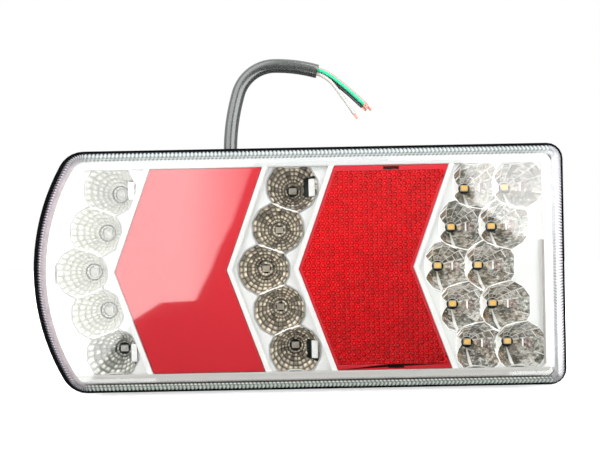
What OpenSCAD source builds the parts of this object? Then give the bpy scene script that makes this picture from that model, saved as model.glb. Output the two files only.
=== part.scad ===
// Wide LED rear lamp for a trailer: a black tray housing with two mounting
// studs, a clear outer lens, a chevron-shaped bezel with indicator, tail, stop,
// reflex and reversing sections, a circuit board and a four-core lead.
//
// The lamp is drawn in its own layout plane: x to the right and y up as seen
// from the front, z forwards from the mounting face. place() stands it up, so
// that the front looks along -Y and +Z is up.

/* [Lamp body] */
// Width across the flange
lamp_w = 233; // [230:0.1:240]
// Height of the lamp
lamp_h = 106; // [105:0.5:107]
// Depth from the mounting face to the front of the lens
lamp_d = 36; // [36:0.1:37]
// Radius of the bowed left end
end_arc_r = 95; // [92:0.5:100]
// Corner radius at the left end
left_corner_r = 12; // [10:0.5:14]
// Corner radius at the right end
right_corner_r = 7; // [6:0.5:9]
// Height of the flange's front face above the mounting face
flange_z = 20; // [20:0.1:20.4]
// Thickness of the flange
flange_t = 3; // [2.5:0.1:3.5]
// How far the tray's wall stands in from the flange's edge
tray_inset = 5.5; // [5:0.1:5.8]
// Thickness of the tray's walls and floor
wall = 2.4; // [2.2:0.1:2.4]

/* [Sections] */
// Slope of the section dividers away from upright, in degrees
chevron_angle = 20; // [19:0.2:21]
// Half height of the windows in the bezel
window_h = 43; // [42.6:0.1:43.2]
// Width of a divider bar
bar_w = 2.3; // [2.2:0.1:2.6]
// Left tip of the smooth tail panel
tail_x = -77.6; // [-78:0.1:-77.2]
// Width of the smooth tail panel
tail_w = 47.3; // [47:0.1:48]
// Left tip of the reflex reflector
reflex_x = -0.2; // [-0.4:0.1:0.4]
// Width of the reflex reflector
reflex_w = 48.2; // [47.6:0.1:48.4]

/* [Light sources] */
// Upright pitch of the light sources
led_pitch = 17.25; // [17:0.05:17.4]
// Column of indicator light sources, at mid height
indicator_x = -91.7; // [-92:0.1:-91.4]
// Column of stop light sources, at mid height
stop_x = -14.8; // [-15:0.1:-14.6]
// Left column of reversing light sources, at mid height
reverse_x1 = 62.4; // [62:0.1:62.8]
// Right column of reversing light sources, at mid height
reverse_x2 = 80.5; // [80:0.1:80.8]
// Mouth radius of a reflector cup
cup_r = 11.1; // [10.6:0.1:11.2]
// Mouth radius of a reversing bowl
bowl_r = 9.2; // [9:0.1:9.4]
// Size of one light source, length, width and height
led_size = [3.5, 2.8, 1.9];

/* [Mounting studs] */
// Distance between the studs
stud_spacing = 152; // [148:1:156]
// Radius of the plain shoulder under the mounting face
stud_r = 3.0; // [2.9:0.05:3.1]
// Radius the threaded length is drawn at, its pitch line
thread_r = 2.67; // [2.6:0.01:2.7]
// Length of a stud beyond the mounting face
stud_len = 18; // [18:1:25]
// Length of the plain shoulder
shoulder_len = 2.5; // [2.3:0.1:2.5]
// Width of a nut across its flats
nut_af = 10; // [9.8:0.1:10.2]
// Thickness of a nut
nut_t = 5; // [4.5:0.1:5.2]

/* [Lead] */
// Outside diameter of the sheath
sheath_d = 6.2; // [6:0.1:6.4]
// Outside diameter of one core
core_d = 1.7; // [1.5:0.05:1.7]
// Where the lead leaves the lamp, across the lamp
lead_x = -30.6; // [-31:0.1:-30]
// Height of the lead above the mounting face
lead_z = 6.6; // [6.5:0.1:6.8]
// Height of the lead's first bending point
lead_y0 = 53; // [52.8:0.1:54]

/* [Hidden] */
$fn = 48;

slope = tan(chevron_angle);   // sideways run of a divider per unit of height
arc_center_x = -lamp_w / 2 + end_arc_r;
tray_top = lamp_h / 2 - tray_inset;
stud_x = stud_spacing / 2;
sheath_r = sheath_d / 2;
core_r = core_d / 2;

// Mid-height edges of the sections
indicator_right = tail_x - bar_w;
tail_right = tail_x + tail_w;
stop_left = tail_right + bar_w;
stop_right = reflex_x - bar_w;
reflex_right = reflex_x + reflex_w;
reverse_left = reflex_right + bar_w;

// Levels above the mounting face
board_back = 10.4;
board_t = 1.6;
board_front = board_back + board_t;
throat_z = 13;                // throat of the cups
rim_z = 30;                   // front face of the reflector plates
bezel_front = 32;
panel_back = 28.6;
panel_front = 31.4;
washer_seat = -shoulder_len;  // the washers rest here, on the far side of a bracket

// Places shared by several pieces
board_screw_places = [[-102, 0], [-50, 30], [-50, -30], [35, 30], [35, -30],
  [100, 28], [100, -28]];
vent = [20, 30];
clamp_y = 35;
clamp_size = [20, 6];
grommet_r = 4.0;
stud_square = 6;              // side of the square neck under a stud's head
groove_depth = 1.2;           // lens seal's groove in the flange
groove_outer = 1.9;
groove_inner = 3.7;
seal_gap = 0.05;

// ---- Outlines ----

function polar(radius, angle) = radius * [cos(angle), sin(angle)];
// Points along an arc, leaving out `skip` points at either end
function arc_points(center, radius, start, end, steps = 5, skip = 0) =
  [for (i = [skip : steps - skip]) center + polar(radius, start + (end - start) * i / steps)];

// The lamp's outline stood in by edge_in at top and bottom and end_in at the ends
function outline(edge_in, end_in, left_r, right_r) =
  let (top = lamp_h / 2 - edge_in,
       right = lamp_w / 2 - end_in,
       bow_r = end_arc_r - end_in,
       left_x = arc_center_x - sqrt(pow(bow_r - left_r, 2) - pow(top - left_r, 2)),
       join = atan2(top - left_r, left_x - arc_center_x))
  concat(
    arc_points([right - right_r, top - right_r], right_r, 0, 90),
    arc_points([left_x, top - left_r], left_r, 90, join),
    arc_points([arc_center_x, 0], bow_r, join, 360 - join, 20, 1),
    arc_points([left_x, left_r - top], left_r, 360 - join, 270),
    arc_points([right - right_r, right_r - top], right_r, 270, 360));
function inset(d) =
  outline(d, d, max(left_corner_r - d, 1.5), max(right_corner_r - d, 1));

bezel_outline = outline(7, 11.3, 8, 4);
skirt_inner_outline = outline(8.2, 12.5, 7, 3);
reflector_outline = outline(8.5, 12.8, 7, 3);
window_outline = outline(lamp_h / 2 - window_h, 13.7, 6, 2);

// Band with its point to the left at mid height
module chevron(left, right, h) {
  run = h * slope;
  polygon([[left, 0], [left + run, h], [right + run, h],
    [right, 0], [right + run, -h], [left + run, -h]]);
}
// Everything left of, or right of, a chevron line
module left_of(x) chevron(x - 400, x, 60);
module right_of(x) chevron(x, x + 400, 60);
// A section's chevron stood in by d at the sides and 0.2 more at top and bottom
module section(left, right, d) chevron(left + d, right - d, window_h - d - 0.2);

// ---- Placing and building helpers ----

module place() rotate([90, 0, 0]) children();
module slab(z0, z1) translate([0, 0, z0]) linear_extrude(z1 - z0) children();
// Cube centred on x and y, standing on z
module block(size, z = 0) translate([-size[0] / 2, -size[1] / 2, z]) cube(size);
// Band round the lamp between two insets
module band(z0, z1, outer, inner) slab(z0, z1) difference() {
  polygon(inset(outer));
  polygon(inset(inner));
}

module at(point, z = 0) translate([point[0], point[1], z]) children();
module at_studs(z = 0) for (side = [-1, 1]) at([side * stud_x, 0], z) children();
module at_board_screws(z = 0) for (point = board_screw_places) at(point, z) children();
module at_lead(y) translate([lead_x, y, lead_z]) children();
// The clamp's two screws, either side of the lead
module at_clamp_screws(z = 0) for (side = [-1, 1]) at([side * 7, 0], z) children();
// The four wires side by side, drawn downwards from y
module at_wires(y) for (i = [-1.5 : 1.5])
  translate([lead_x + i * 1.9, y, lead_z]) rotate([90, 0, 0]) children();
// One column of light sources, following the chevron
module column(x, rows = [-2 : 2]) for (row = rows)
  at([x + abs(row) * led_pitch * slope, row * led_pitch]) children();
module at_tail_spots() for (x = [tail_x + 13.2, tail_x + 34.5], y = [-25 : 12.5 : 25])
  at([x + abs(y) * slope, y]) children();

// Cross-slotted screw; slot is its length, width and height, centred slot_z above the seat
module screw(seat, head_r, head_h, slot, slot_z, shank_r, shank_end) {
  difference() {
    translate([0, 0, seat]) cylinder(r = head_r, h = head_h);
    translate([0, 0, seat + slot_z]) {
      cube(slot, center = true);
      cube([slot[1], slot[0], slot[2]], center = true);
    }
  }
  translate([0, 0, shank_end]) cylinder(r = shank_r, h = seat + 0.1 - shank_end);
}

// ---- Housing and lens ----

module housing_shell() difference() {
  union() {
    slab(0, flange_z) polygon(inset(tray_inset));
    slab(flange_z - flange_t, flange_z) polygon(inset(0));
  }
  slab(wall, flange_z + 1) polygon(inset(tray_inset + wall));
  band(flange_z - groove_depth, flange_z + 1, groove_outer, groove_inner);
  // cored-out pockets in the rear face, leaving a rim, ribs and stud pads
  slab(-1, 0.9) difference() {
    polygon(inset(tray_inset + 8));
    at_studs() circle(13);
    for (i = [-4 : 4]) translate([i * 24, 0]) square([2, 110], center = true);
    for (i = [-1 : 1]) translate([0, i * 20]) square([240, 2], center = true);
  }
  // holes for the studs, the grommet and the vent
  at_studs() cube([stud_square + 0.1, stud_square + 0.1, 12], center = true);
  at_lead(tray_top - wall / 2) rotate([90, 0, 0])
    cylinder(r = grommet_r + 0.05, h = 12, center = true);
  at(vent, -1) cylinder(r = 1.2, h = 6);
}
module board_pillar() difference() {
  cylinder(r = 3.1, h = board_back - wall);
  translate([0, 0, 1]) cylinder(r = 1.25, h = 20);
}
module stud_collar() difference() {
  cylinder(r = 9, h = 5);
  translate([0, 0, -1]) cylinder(r = 7.2, h = 10);
}
module vent_collar() difference() {
  cylinder(r = 5.2, h = 1.2);
  translate([0, 0, -1]) cylinder(r = 4.2, h = 3);
}
// Cradle behind the lead
module lead_cradle() difference() {
  block([clamp_size[0], clamp_size[1], 4.1]);
  translate([0, 0, lead_z - wall]) rotate([90, 0, 0])
    cylinder(r = sheath_r + 0.05, h = 20, center = true);
  at_clamp_screws(0.8) cylinder(r = 1, h = 20);
}
module rear_housing() color("#1d1e20") place() {
  housing_shell();
  at_board_screws(wall) board_pillar();
  at_studs(wall) stud_collar();
  at([lead_x, clamp_y], wall) lead_cradle();
  // stiffening ribs on the floor
  for (side = [-1, 1])
    slab(wall, wall + 1.6) translate([-46, side * 24.5 - 0.7]) square([60, 1.4]);
  at(vent, wall) vent_collar();
}

module lens_seal() color("#0c0c0c") place()
  band(flange_z - groove_depth + seal_gap, flange_z,
    groove_outer + seal_gap, groove_inner - seal_gap);

// Levels of the lens: height, inset at top and bottom, inset at the ends
level_t = 0.05;
lens_outer_levels = [[flange_z, 1.0, 1.6], [24, 1.8, 3.3], [28, 2.6, 5.2],
  [31, 3.5, 7.0], [33, 4.6, 8.6], [34.6, 5.9, 10.2], [lamp_d - level_t, 8.2, 12.4]];
lens_inner_levels = [[flange_z - 0.1, 3.2, 3.8], [24, 3.8, 5.4], [28, 4.6, 7.2],
  [31, 5.4, 8.9], [33, 6.8, 10.7], [33.8, 8.8, 12.8]];
module lens_dome(levels) hull() for (level = levels)
  translate([0, 0, level[0]]) linear_extrude(level_t)
    polygon(outline(level[1], level[2],
      max(left_corner_r - level[1], 4), max(right_corner_r - level[1], 2)));
module outer_lens() color([0.9, 0.93, 0.95, 0.35]) place() difference() {
  lens_dome(lens_outer_levels);
  lens_dome(lens_inner_levels);
}

// ---- Bezel and reflectors ----

module bezel() color("#e9ebec") place() {
  slab(rim_z, bezel_front) difference() {
    polygon(bezel_outline);
    intersection() {
      polygon(window_outline);
      left_of(indicator_right);
    }
    chevron(tail_x, tail_right, window_h);
    chevron(stop_left, stop_right, window_h);
    chevron(reflex_x, reflex_right, window_h);
    intersection() {
      polygon(window_outline);
      right_of(reverse_left);
    }
  }
  // skirt
  slab(flange_z + 0.1, rim_z) difference() {
    polygon(bezel_outline);
    polygon(skirt_inner_outline);
  }
}

throat_r = 2.5;
cup_wall = 1;
cup_sides = 12;
cup_steps = 6;
plate_lap = 1;   // how far a reflector plate reaches under the bezel's bars

// A cup's radius at height z: a paraboloid from its throat to mouth radius r
function flare(z, r) =
  sqrt(pow(throat_r, 2) + (z - throat_z) * (r * r - pow(throat_r, 2)) / (rim_z - throat_z));
// Solid with a cup's faceted profile, thickened by grow
module cup(r, grow, z0, z1)
  rotate([0, 0, 180 / cup_sides]) rotate_extrude($fn = cup_sides)
    polygon(concat([[0, z0]],
      [for (i = [0 : cup_steps])
        let (z = z0 + (z1 - z0) * i / cup_steps) [flare(max(z, throat_z), r) + grow, z]],
      [[0, z1]]));
// Plate of the child's shape under a bezel window, with cups reaching back from it
module reflector_body(columns, r) difference() {
  intersection() {
    union() {
      slab(rim_z - 1.4, rim_z) children();
      for (x = columns) column(x) cup(r, cup_wall, throat_z, rim_z);
    }
    slab(0, 40) polygon(reflector_outline);
  }
  for (x = columns) column(x) cup(r, 0, throat_z - 1, rim_z + 1);
}

// Openings beside the end cups, where the clips come through
module clip_openings(x) column(x, [-2, 2]) translate([4.8, -4.15, 18]) cube([5, 8.3, 20]);

module indicator_reflector() color("#c9c8c4") place() difference() {
  reflector_body([indicator_x], cup_r) intersection() {
    polygon(reflector_outline);
    left_of(indicator_right + plate_lap);
  }
  clip_openings(indicator_x);
}
module stop_reflector() color("#a8a29a") place() difference() {
  reflector_body([stop_x], cup_r)
    chevron(stop_left - plate_lap, stop_right + plate_lap, window_h + plate_lap);
  clip_openings(stop_x);
}
module reverse_reflector() color("#b9b2a8") place()
  reflector_body([reverse_x1, reverse_x2], bowl_r) intersection() {
    polygon(reflector_outline);
    right_of(reverse_left - plate_lap);
  }

// Upright tongues from the board, each with a hook on its left side
clip_w = 7.4;
module retaining_clips() color("#f0f0ee") place()
  for (x = [indicator_x, stop_x]) column(x, [-2, 2])
    translate([7.9, -clip_w / 2, board_front]) {
      cube([1.7, clip_w, 16]);
      translate([-0.9, 0, 13.6]) cube([0.95, clip_w, 1.6]);
    }

// ---- Tail and reflex sections ----

// Open-fronted chevron box; the hollow is cut forwards to cut_z
module section_box(left, right, z0, z1, cut_z, hollow_inset) difference() {
  slab(z0, z1) section(left, right, 0.2);
  slab(z0 + 1.2, cut_z) section(left, right, hollow_inset);
}
// Panel filling a bezel window, with a flange behind the bezel
module panel(left, right) {
  slab(panel_back, 29.9) section(left, right, -1);
  slab(29.8, panel_front) chevron(left + 0.15, right - 0.15, window_h - 0.15);
}
module tail_light_box() color("#f4f4f2") place() difference() {
  section_box(tail_x, tail_right, 14.2, 28.4, 29, 1.5);
  slab(14, 16) at_tail_spots() circle(2.7);
}
module tail_panel() color("#c8202c") place() panel(tail_x, tail_right);

// Notches in the reflex reflector: centre from its left corner, lower edge
notches = [[21.5, window_h - 2], [23, -window_h - 1]];
notch_size = [6.8, 3];
module reflex_reflector() color("#cc1f2b") place() difference() {
  panel(reflex_x, reflex_right);
  for (notch = notches)
    slab(30.2, 40)
      translate([reflex_x + window_h * slope + notch[0] - notch_size[0] / 2, notch[1]])
        square(notch_size);
  // recess behind, over the prism field
  slab(panel_back - 1, panel_back + 1.1)
    chevron(reflex_x + 2.6, reflex_right - 2.6, window_h - 3.2);
}
module reflex_cover() color("#e8e8e8") place()
  section_box(reflex_x, reflex_right, 24.6, panel_back, panel_back + 1, 1.6);

// ---- Circuit board ----

module circuit_board() color("#2f6b3c") place() slab(board_back, board_front) difference() {
  polygon(inset(10.2));
  // notch round the lead
  translate([lead_x - 11, 30.5]) square([22, 20]);
  at_board_screws() circle(1.6);
}

module leds(columns) for (x = columns) column(x) block(led_size, board_front);
module indicator_leds() color("#f2efe2") place() leds([indicator_x]);
module stop_leds() color("#f2efe2") place() leds([stop_x]);
module reverse_leds() color("#f3dc5e") place() leds([reverse_x1, reverse_x2]);
module tail_leds() color("#f2efe2") place() at_tail_spots() block(led_size, board_front);

module series_resistors() color("#26262a") place()
  for (x = [-70, -24, 4, 44], row = [-1 : 1])
    at([x + abs(row) * 3, row * 8], board_front) block([3.2, 1.6, 0.6]);
module protection_diodes() color("#161616") place()
  for (x = [10 : 6 : 28]) at([x, -21], board_front) {
    block([2.6, 4.4, 2], 0.2);
    block([1.4, 5.4, 0.2]);
  }
module driver_chips() color("#161616") place()
  for (x = [12, 30]) at([x, 20], board_front) {
    block([3.9, 4.9, 1.4], 0.3);
    // legs
    for (side = [-1, 1], i = [-1.5 : 1.5])
      at([side * 2.4, i * 1.27]) block([1.1, 0.4, 0.35]);
  }
// Cans on the rear face of the board, with square bases
can_h = 4.8;
can_base_t = 0.8;
module capacitors() color("#b8bcc0") place()
  for (x = [16, 26]) at([x, 4], board_back - can_base_t - can_h) {
    cylinder(r = 3.15, h = can_h);
    block([6.6, 6.6, can_base_t], can_h);
  }
module board_screws() color("#c8cacc") place() at_board_screws()
  screw(seat = board_front, head_r = 2.7, head_h = 1.8, slot = [3.2, 0.7, 2.2],
    slot_z = 1.5, shank_r = 1.2, shank_end = board_front - 7.5);

// ---- Lead inside the lamp ----

terminal_size = [12, 8, 6];
module wire_terminal() color("#efefe9") place() difference() {
  at([lead_x, 16]) block(terminal_size, board_back - terminal_size[2]);
  at_wires(20.01) cylinder(r = 0.8, h = 4);
}
// Insulated wires with bare ends reaching into the terminal
module inner_wires() color("#b04040") place() at_wires(27.9) {
  cylinder(r = core_r, h = 7.8);
  cylinder(r = 0.6, h = 11);
}
module sheath_inlet() color("#3a3d3d") place() difference() {
  at_lead(lead_y0) rotate([90, 0, 0]) cylinder(r = sheath_r, h = lead_y0 - 28);
  at_lead(lead_y0) sphere(sheath_r + 0.1);
}

clamp_t = 4.3;
clamp_back = lead_z + 0.1;
module cable_clamp() color("#2a2a2c") place() at([lead_x, clamp_y]) difference() {
  block([clamp_size[0], clamp_size[1], clamp_t], clamp_back);
  translate([0, 0, lead_z]) rotate([90, 0, 0])
    cylinder(r = sheath_r + 0.02, h = 20, center = true);
  at_clamp_screws() cylinder(r = 1.35, h = 40, center = true);
}
module clamp_screws() color("#c8cacc") place() at([lead_x, clamp_y]) at_clamp_screws()
  screw(seat = clamp_back + clamp_t, head_r = 2.2, head_h = 1.5, slot = [2.8, 0.6, 1.6],
    slot_z = 1.3, shank_r = 0.95, shank_end = 3.6);

// Sleeve through the tray's top wall, with a flange and a taper outside
grommet_flange_t = 1.8;
module cable_grommet() color("#141414") place() at_lead(0) rotate([-90, 0, 0]) difference() {
  union() {
    translate([0, 0, 43]) cylinder(r = grommet_r, h = 5);
    translate([0, 0, tray_top]) cylinder(r = 5.6, h = grommet_flange_t);
    translate([0, 0, tray_top + grommet_flange_t]) cylinder(r1 = 4.7, r2 = 3.9, h = 2.1);
  }
  translate([0, 0, 40]) cylinder(r = sheath_r + 0.03, h = 20);
}

// ---- Lead outside the lamp ----

// The sheath's path: three arcs turning to the right, the first upright at the lamp
lower_r = 95;
lower_turn = 17;
top_r = 17.6;
end_r = 68;
end_turn = 17;
lower_center = [lead_x + lower_r, lead_y0];
lower_end = lower_center + polar(lower_r, 180 - lower_turn);
top_center = lower_end + polar(top_r, -lower_turn);
end_center = top_center + [0, top_r - end_r];
end_angle = 90 - end_turn;
sheath_end = end_center + polar(end_r, end_angle);
end_gap = 0.04;   // degrees by which the last arc stops short of the top one

// Round cord along an arc, dz forwards of the lead's own level
module bend(center, arc_r, start, end, cord_r, dz = 0)
  at(center, lead_z + dz) rotate([0, 0, start])
    rotate_extrude(angle = end - start, $fn = 96) translate([arc_r, 0]) circle(cord_r, $fn = 32);
// Turns a child's axis to a heading in the layout plane
module along(point, heading, dz = 0)
  at(point, lead_z + dz) rotate([0, 0, heading]) rotate([0, 90, 0]) children();

module sheath_lower() color("#3a3d3d") place() {
  difference() {
    bend(lower_center, lower_r, 180 - lower_turn, 180, sheath_r);
    at(lower_end, lead_z) sphere(sheath_r + 0.1);
  }
  at_lead(lead_y0) sphere(sheath_r - 0.08);
}
module sheath_upper() color("#3a3d3d") place() {
  // tapered plug pointing back towards the lower sheath
  along(lower_end, -90 - lower_turn) translate([0, 0, -0.4])
    cylinder(r1 = sheath_r - 0.3, r2 = sheath_r - 1.4, h = 2.6, $fn = 32);
  bend(top_center, top_r, 90, 180 - lower_turn, sheath_r);
  bend(end_center, end_r, end_angle, 90 - end_gap, sheath_r);
}

// Cores, two arcs each from the sheath's end: first radius, first turn,
// second radius, second turn, offset outwards, offset forwards
red = [20, 21, 150, 7.9, 1.17, -0.43];
green = [20, 21, 150, 7.3, 0.43, 1.17];
black = [20, 21, 150, 7.3, -0.43, -1.17];
white = [16, 36, 200, 4.8, -1.17, 0.43];
function joint_angle(core) = end_angle - core[1];
function tip_angle(core) = joint_angle(core) - core[3];
function first_center(core) = sheath_end - polar(core[0], end_angle);
function second_center(core) =
  first_center(core) + polar(core[0] - core[2], joint_angle(core));

module core(core) {
  joint = joint_angle(core);
  first_r = core[0] + core[4];
  second_r = core[2] + core[4];
  bend(first_center(core), first_r, joint, end_angle, core_r, core[5]);
  bend(second_center(core), second_r, tip_angle(core), joint, core_r, core[5]);
  // short collar over the place where the arcs meet
  along(first_center(core) + polar(first_r, joint), joint - 90, core[5])
    cylinder(r = core_r + 0.04, h = 0.4, center = true, $fn = 32);
}
module red_core() color("#d8383f") place() core(red);
module green_core() color("#12a070") place() core(green);
module black_core() color("#222222") place() core(black);
module white_core() color("#d9d4cf") place() core(white);
module copper_strands() color("#b5714a") place()
  for (core = [red, green, black, white])
    along(second_center(core) + polar(core[2] + core[4], tip_angle(core)),
      tip_angle(core) - 90, core[5])
      cylinder(r = 0.62, h = 3.6, $fn = 24);

// ---- Studs, vent and fixings ----

stud_tip = 1;   // length of the tapered tip
module mounting_studs() color("#c3c6c9") place() at_studs() {
  translate([0, 0, 3.6]) cylinder(r = 6.6, h = 2.4);
  block([stud_square, stud_square, 3.7]);
  translate([0, 0, washer_seat]) cylinder(r = stud_r, h = shoulder_len);
  translate([0, 0, stud_tip - stud_len])
    cylinder(r = thread_r, h = stud_len - stud_tip - shoulder_len);
  translate([0, 0, -stud_len]) cylinder(r1 = thread_r - 0.7, r2 = thread_r, h = stud_tip);
}
module stud_seals() color("#101010") place()
  at_studs(3) rotate_extrude() translate([5.2, 0]) circle(0.58, $fn = 24);
module vent_membrane() color("#f4f4f4") place() at(vent, wall) cylinder(r = 4, h = 0.4);

washer_t = 1.6;
spring_z = washer_seat - 2 * washer_t;
spring_gap = 16;                    // opening of the spring washer, in degrees
chamfer_r = nut_af / 2 + 0.1;       // radius of the nut's chamfer at its faces
chamfer_far_r = chamfer_r + nut_t * 1.8;

module washer() difference() {
  translate([0, 0, washer_seat - washer_t]) cylinder(r = 6, h = washer_t);
  translate([0, 0, washer_seat - 5]) cylinder(r = 3.2, h = 10);
}
module spring_washer() translate([0, 0, spring_z]) rotate([0, 0, spring_gap / 2])
  rotate_extrude(angle = 360 - spring_gap) translate([3.1, 0]) square([2, washer_t]);
// Hexagon chamfered at both faces by two opposed cones
module nut() difference() {
  translate([0, 0, spring_z - nut_t]) intersection() {
    cylinder(r = nut_af / 2 / cos(30), h = nut_t, $fn = 6);
    cylinder(r1 = chamfer_r, r2 = chamfer_far_r, h = nut_t);
    cylinder(r1 = chamfer_far_r, r2 = chamfer_r, h = nut_t);
  }
  translate([0, 0, washer_seat - 20]) cylinder(r = thread_r + 0.05, h = 40);
}
module left_washer() color("#cdd0d2") place() at([-stud_x, 0]) washer();
module right_washer() color("#cdd0d2") place() at([stud_x, 0]) washer();
module left_spring_washer() color("#b5b8ba") place() at([-stud_x, 0]) spring_washer();
module right_spring_washer() color("#b5b8ba") place() at([stud_x, 0]) spring_washer();
module left_nut() color("#c9ccce") place() at([-stud_x, 0]) nut();
module right_nut() color("#c9ccce") place() at([stud_x, 0]) nut();

rear_housing();
lens_seal();
outer_lens();
bezel();
indicator_reflector();
stop_reflector();
reverse_reflector();
tail_light_box();
tail_panel();
reflex_reflector();
reflex_cover();
retaining_clips();
circuit_board();
indicator_leds();
stop_leds();
reverse_leds();
tail_leds();
series_resistors();
protection_diodes();
driver_chips();
capacitors();
board_screws();
wire_terminal();
inner_wires();
sheath_inlet();
cable_clamp();
clamp_screws();
cable_grommet();
sheath_lower();
sheath_upper();
red_core();
green_core();
black_core();
white_core();
copper_strands();
mounting_studs();
stud_seals();
vent_membrane();
left_washer();
left_spring_washer();
left_nut();
right_washer();
right_spring_washer();
right_nut();
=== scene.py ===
# A wide rear lamp. From left to right it holds a strip of silvered indicator cups, a red tail
# panel, a strip of stop cups, a red reflex panel and two columns of faceted reversing bowls,
# set in a white bezel under a clear lens with ribbed edges. A four-core lead leaves at the top.
#
# Layout lengths are millimetres from the lamp's middle: x right, y up, z forwards. at() turns
# them into the frame's metres, where the lamp is wide along X, tall along Z and faces -Y.
import math
import random

import bmesh
import bpy
import numpy as np
from mathutils import Euler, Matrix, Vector
from mathutils.geometry import delaunay_2d_cdt


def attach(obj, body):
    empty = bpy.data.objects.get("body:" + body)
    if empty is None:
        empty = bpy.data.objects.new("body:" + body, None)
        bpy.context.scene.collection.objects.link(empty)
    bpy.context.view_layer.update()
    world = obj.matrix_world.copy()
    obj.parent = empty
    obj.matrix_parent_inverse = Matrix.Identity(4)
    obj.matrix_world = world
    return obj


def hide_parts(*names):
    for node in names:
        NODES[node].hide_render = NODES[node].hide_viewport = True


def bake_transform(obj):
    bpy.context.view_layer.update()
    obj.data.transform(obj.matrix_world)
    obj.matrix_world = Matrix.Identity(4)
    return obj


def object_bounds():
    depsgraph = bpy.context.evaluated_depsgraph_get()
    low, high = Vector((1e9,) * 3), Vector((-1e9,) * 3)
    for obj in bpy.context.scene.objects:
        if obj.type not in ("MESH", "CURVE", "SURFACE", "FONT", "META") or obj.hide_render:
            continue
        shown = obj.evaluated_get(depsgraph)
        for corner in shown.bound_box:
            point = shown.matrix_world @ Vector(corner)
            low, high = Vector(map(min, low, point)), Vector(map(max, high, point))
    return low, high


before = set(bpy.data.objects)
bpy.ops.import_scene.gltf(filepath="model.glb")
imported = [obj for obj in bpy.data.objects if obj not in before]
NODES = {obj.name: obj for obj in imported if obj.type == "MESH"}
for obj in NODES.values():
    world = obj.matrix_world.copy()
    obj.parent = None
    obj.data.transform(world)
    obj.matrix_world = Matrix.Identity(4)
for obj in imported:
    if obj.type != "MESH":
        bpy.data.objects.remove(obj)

CAD_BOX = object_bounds()
MM = 0.001

# ---------------------------------------------------------------- layout, mm
WIDTH, HEIGHT = 233.0, 106.0
END_R = 95.0                      # the rounded left end
END_X = -WIDTH / 2 + END_R        # and its centre
FLANGE_Z = 20.0
SLOPE = math.tan(math.radians(20))    # lean of the borders between the sections
WINDOW_Y = 43.0                   # half the height of the bezel's opening
BAR = 2.3                         # width of the bezel's bars
TAIL_X0, TAIL_X1 = -77.6, -30.3
REFLEX_X0, REFLEX_X1 = -0.2, 48.0
STOP_X0, STOP_X1 = TAIL_X1 + BAR, REFLEX_X0 - BAR
INDICATOR_EDGE, REVERSE_EDGE = TAIL_X0 - BAR, REFLEX_X1 + BAR
PITCH = 17.25                     # rows of cups and bowls
ROWS = (-2, -1, 0, 1, 2)
INDICATOR_X, STOP_X = -91.7, -14.8    # middle cup of each strip
REVERSE_X = (62.4, 80.5)          # middle bowl of each column
CUP_Z, RIM_Z, BEZEL_Z = 13.0, 30.0, 32.0
PANEL_Z0, PANEL_Z1 = 28.7, 31.4   # back and front of the red panels
EMITTER_Z = 12.0
LEAD_X, LEAD_Y, LEAD_Z = -30.6, 53.0, 6.6


def at(x, y, z):
    """A layout point in millimetres as a frame point in metres."""
    return (x * MM, -z * MM, y * MM)


def row_place(x, row):
    """Middle of a cup or bowl; the rows step right away from the middle one."""
    return (x + abs(row) * PITCH * SLOPE, row * PITCH)


# ---------------------------------------------------------------- shader graphs
MATERIALS = {}


def scaled(color, factor):
    return [min(1.0, channel * factor) for channel in color]


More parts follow.
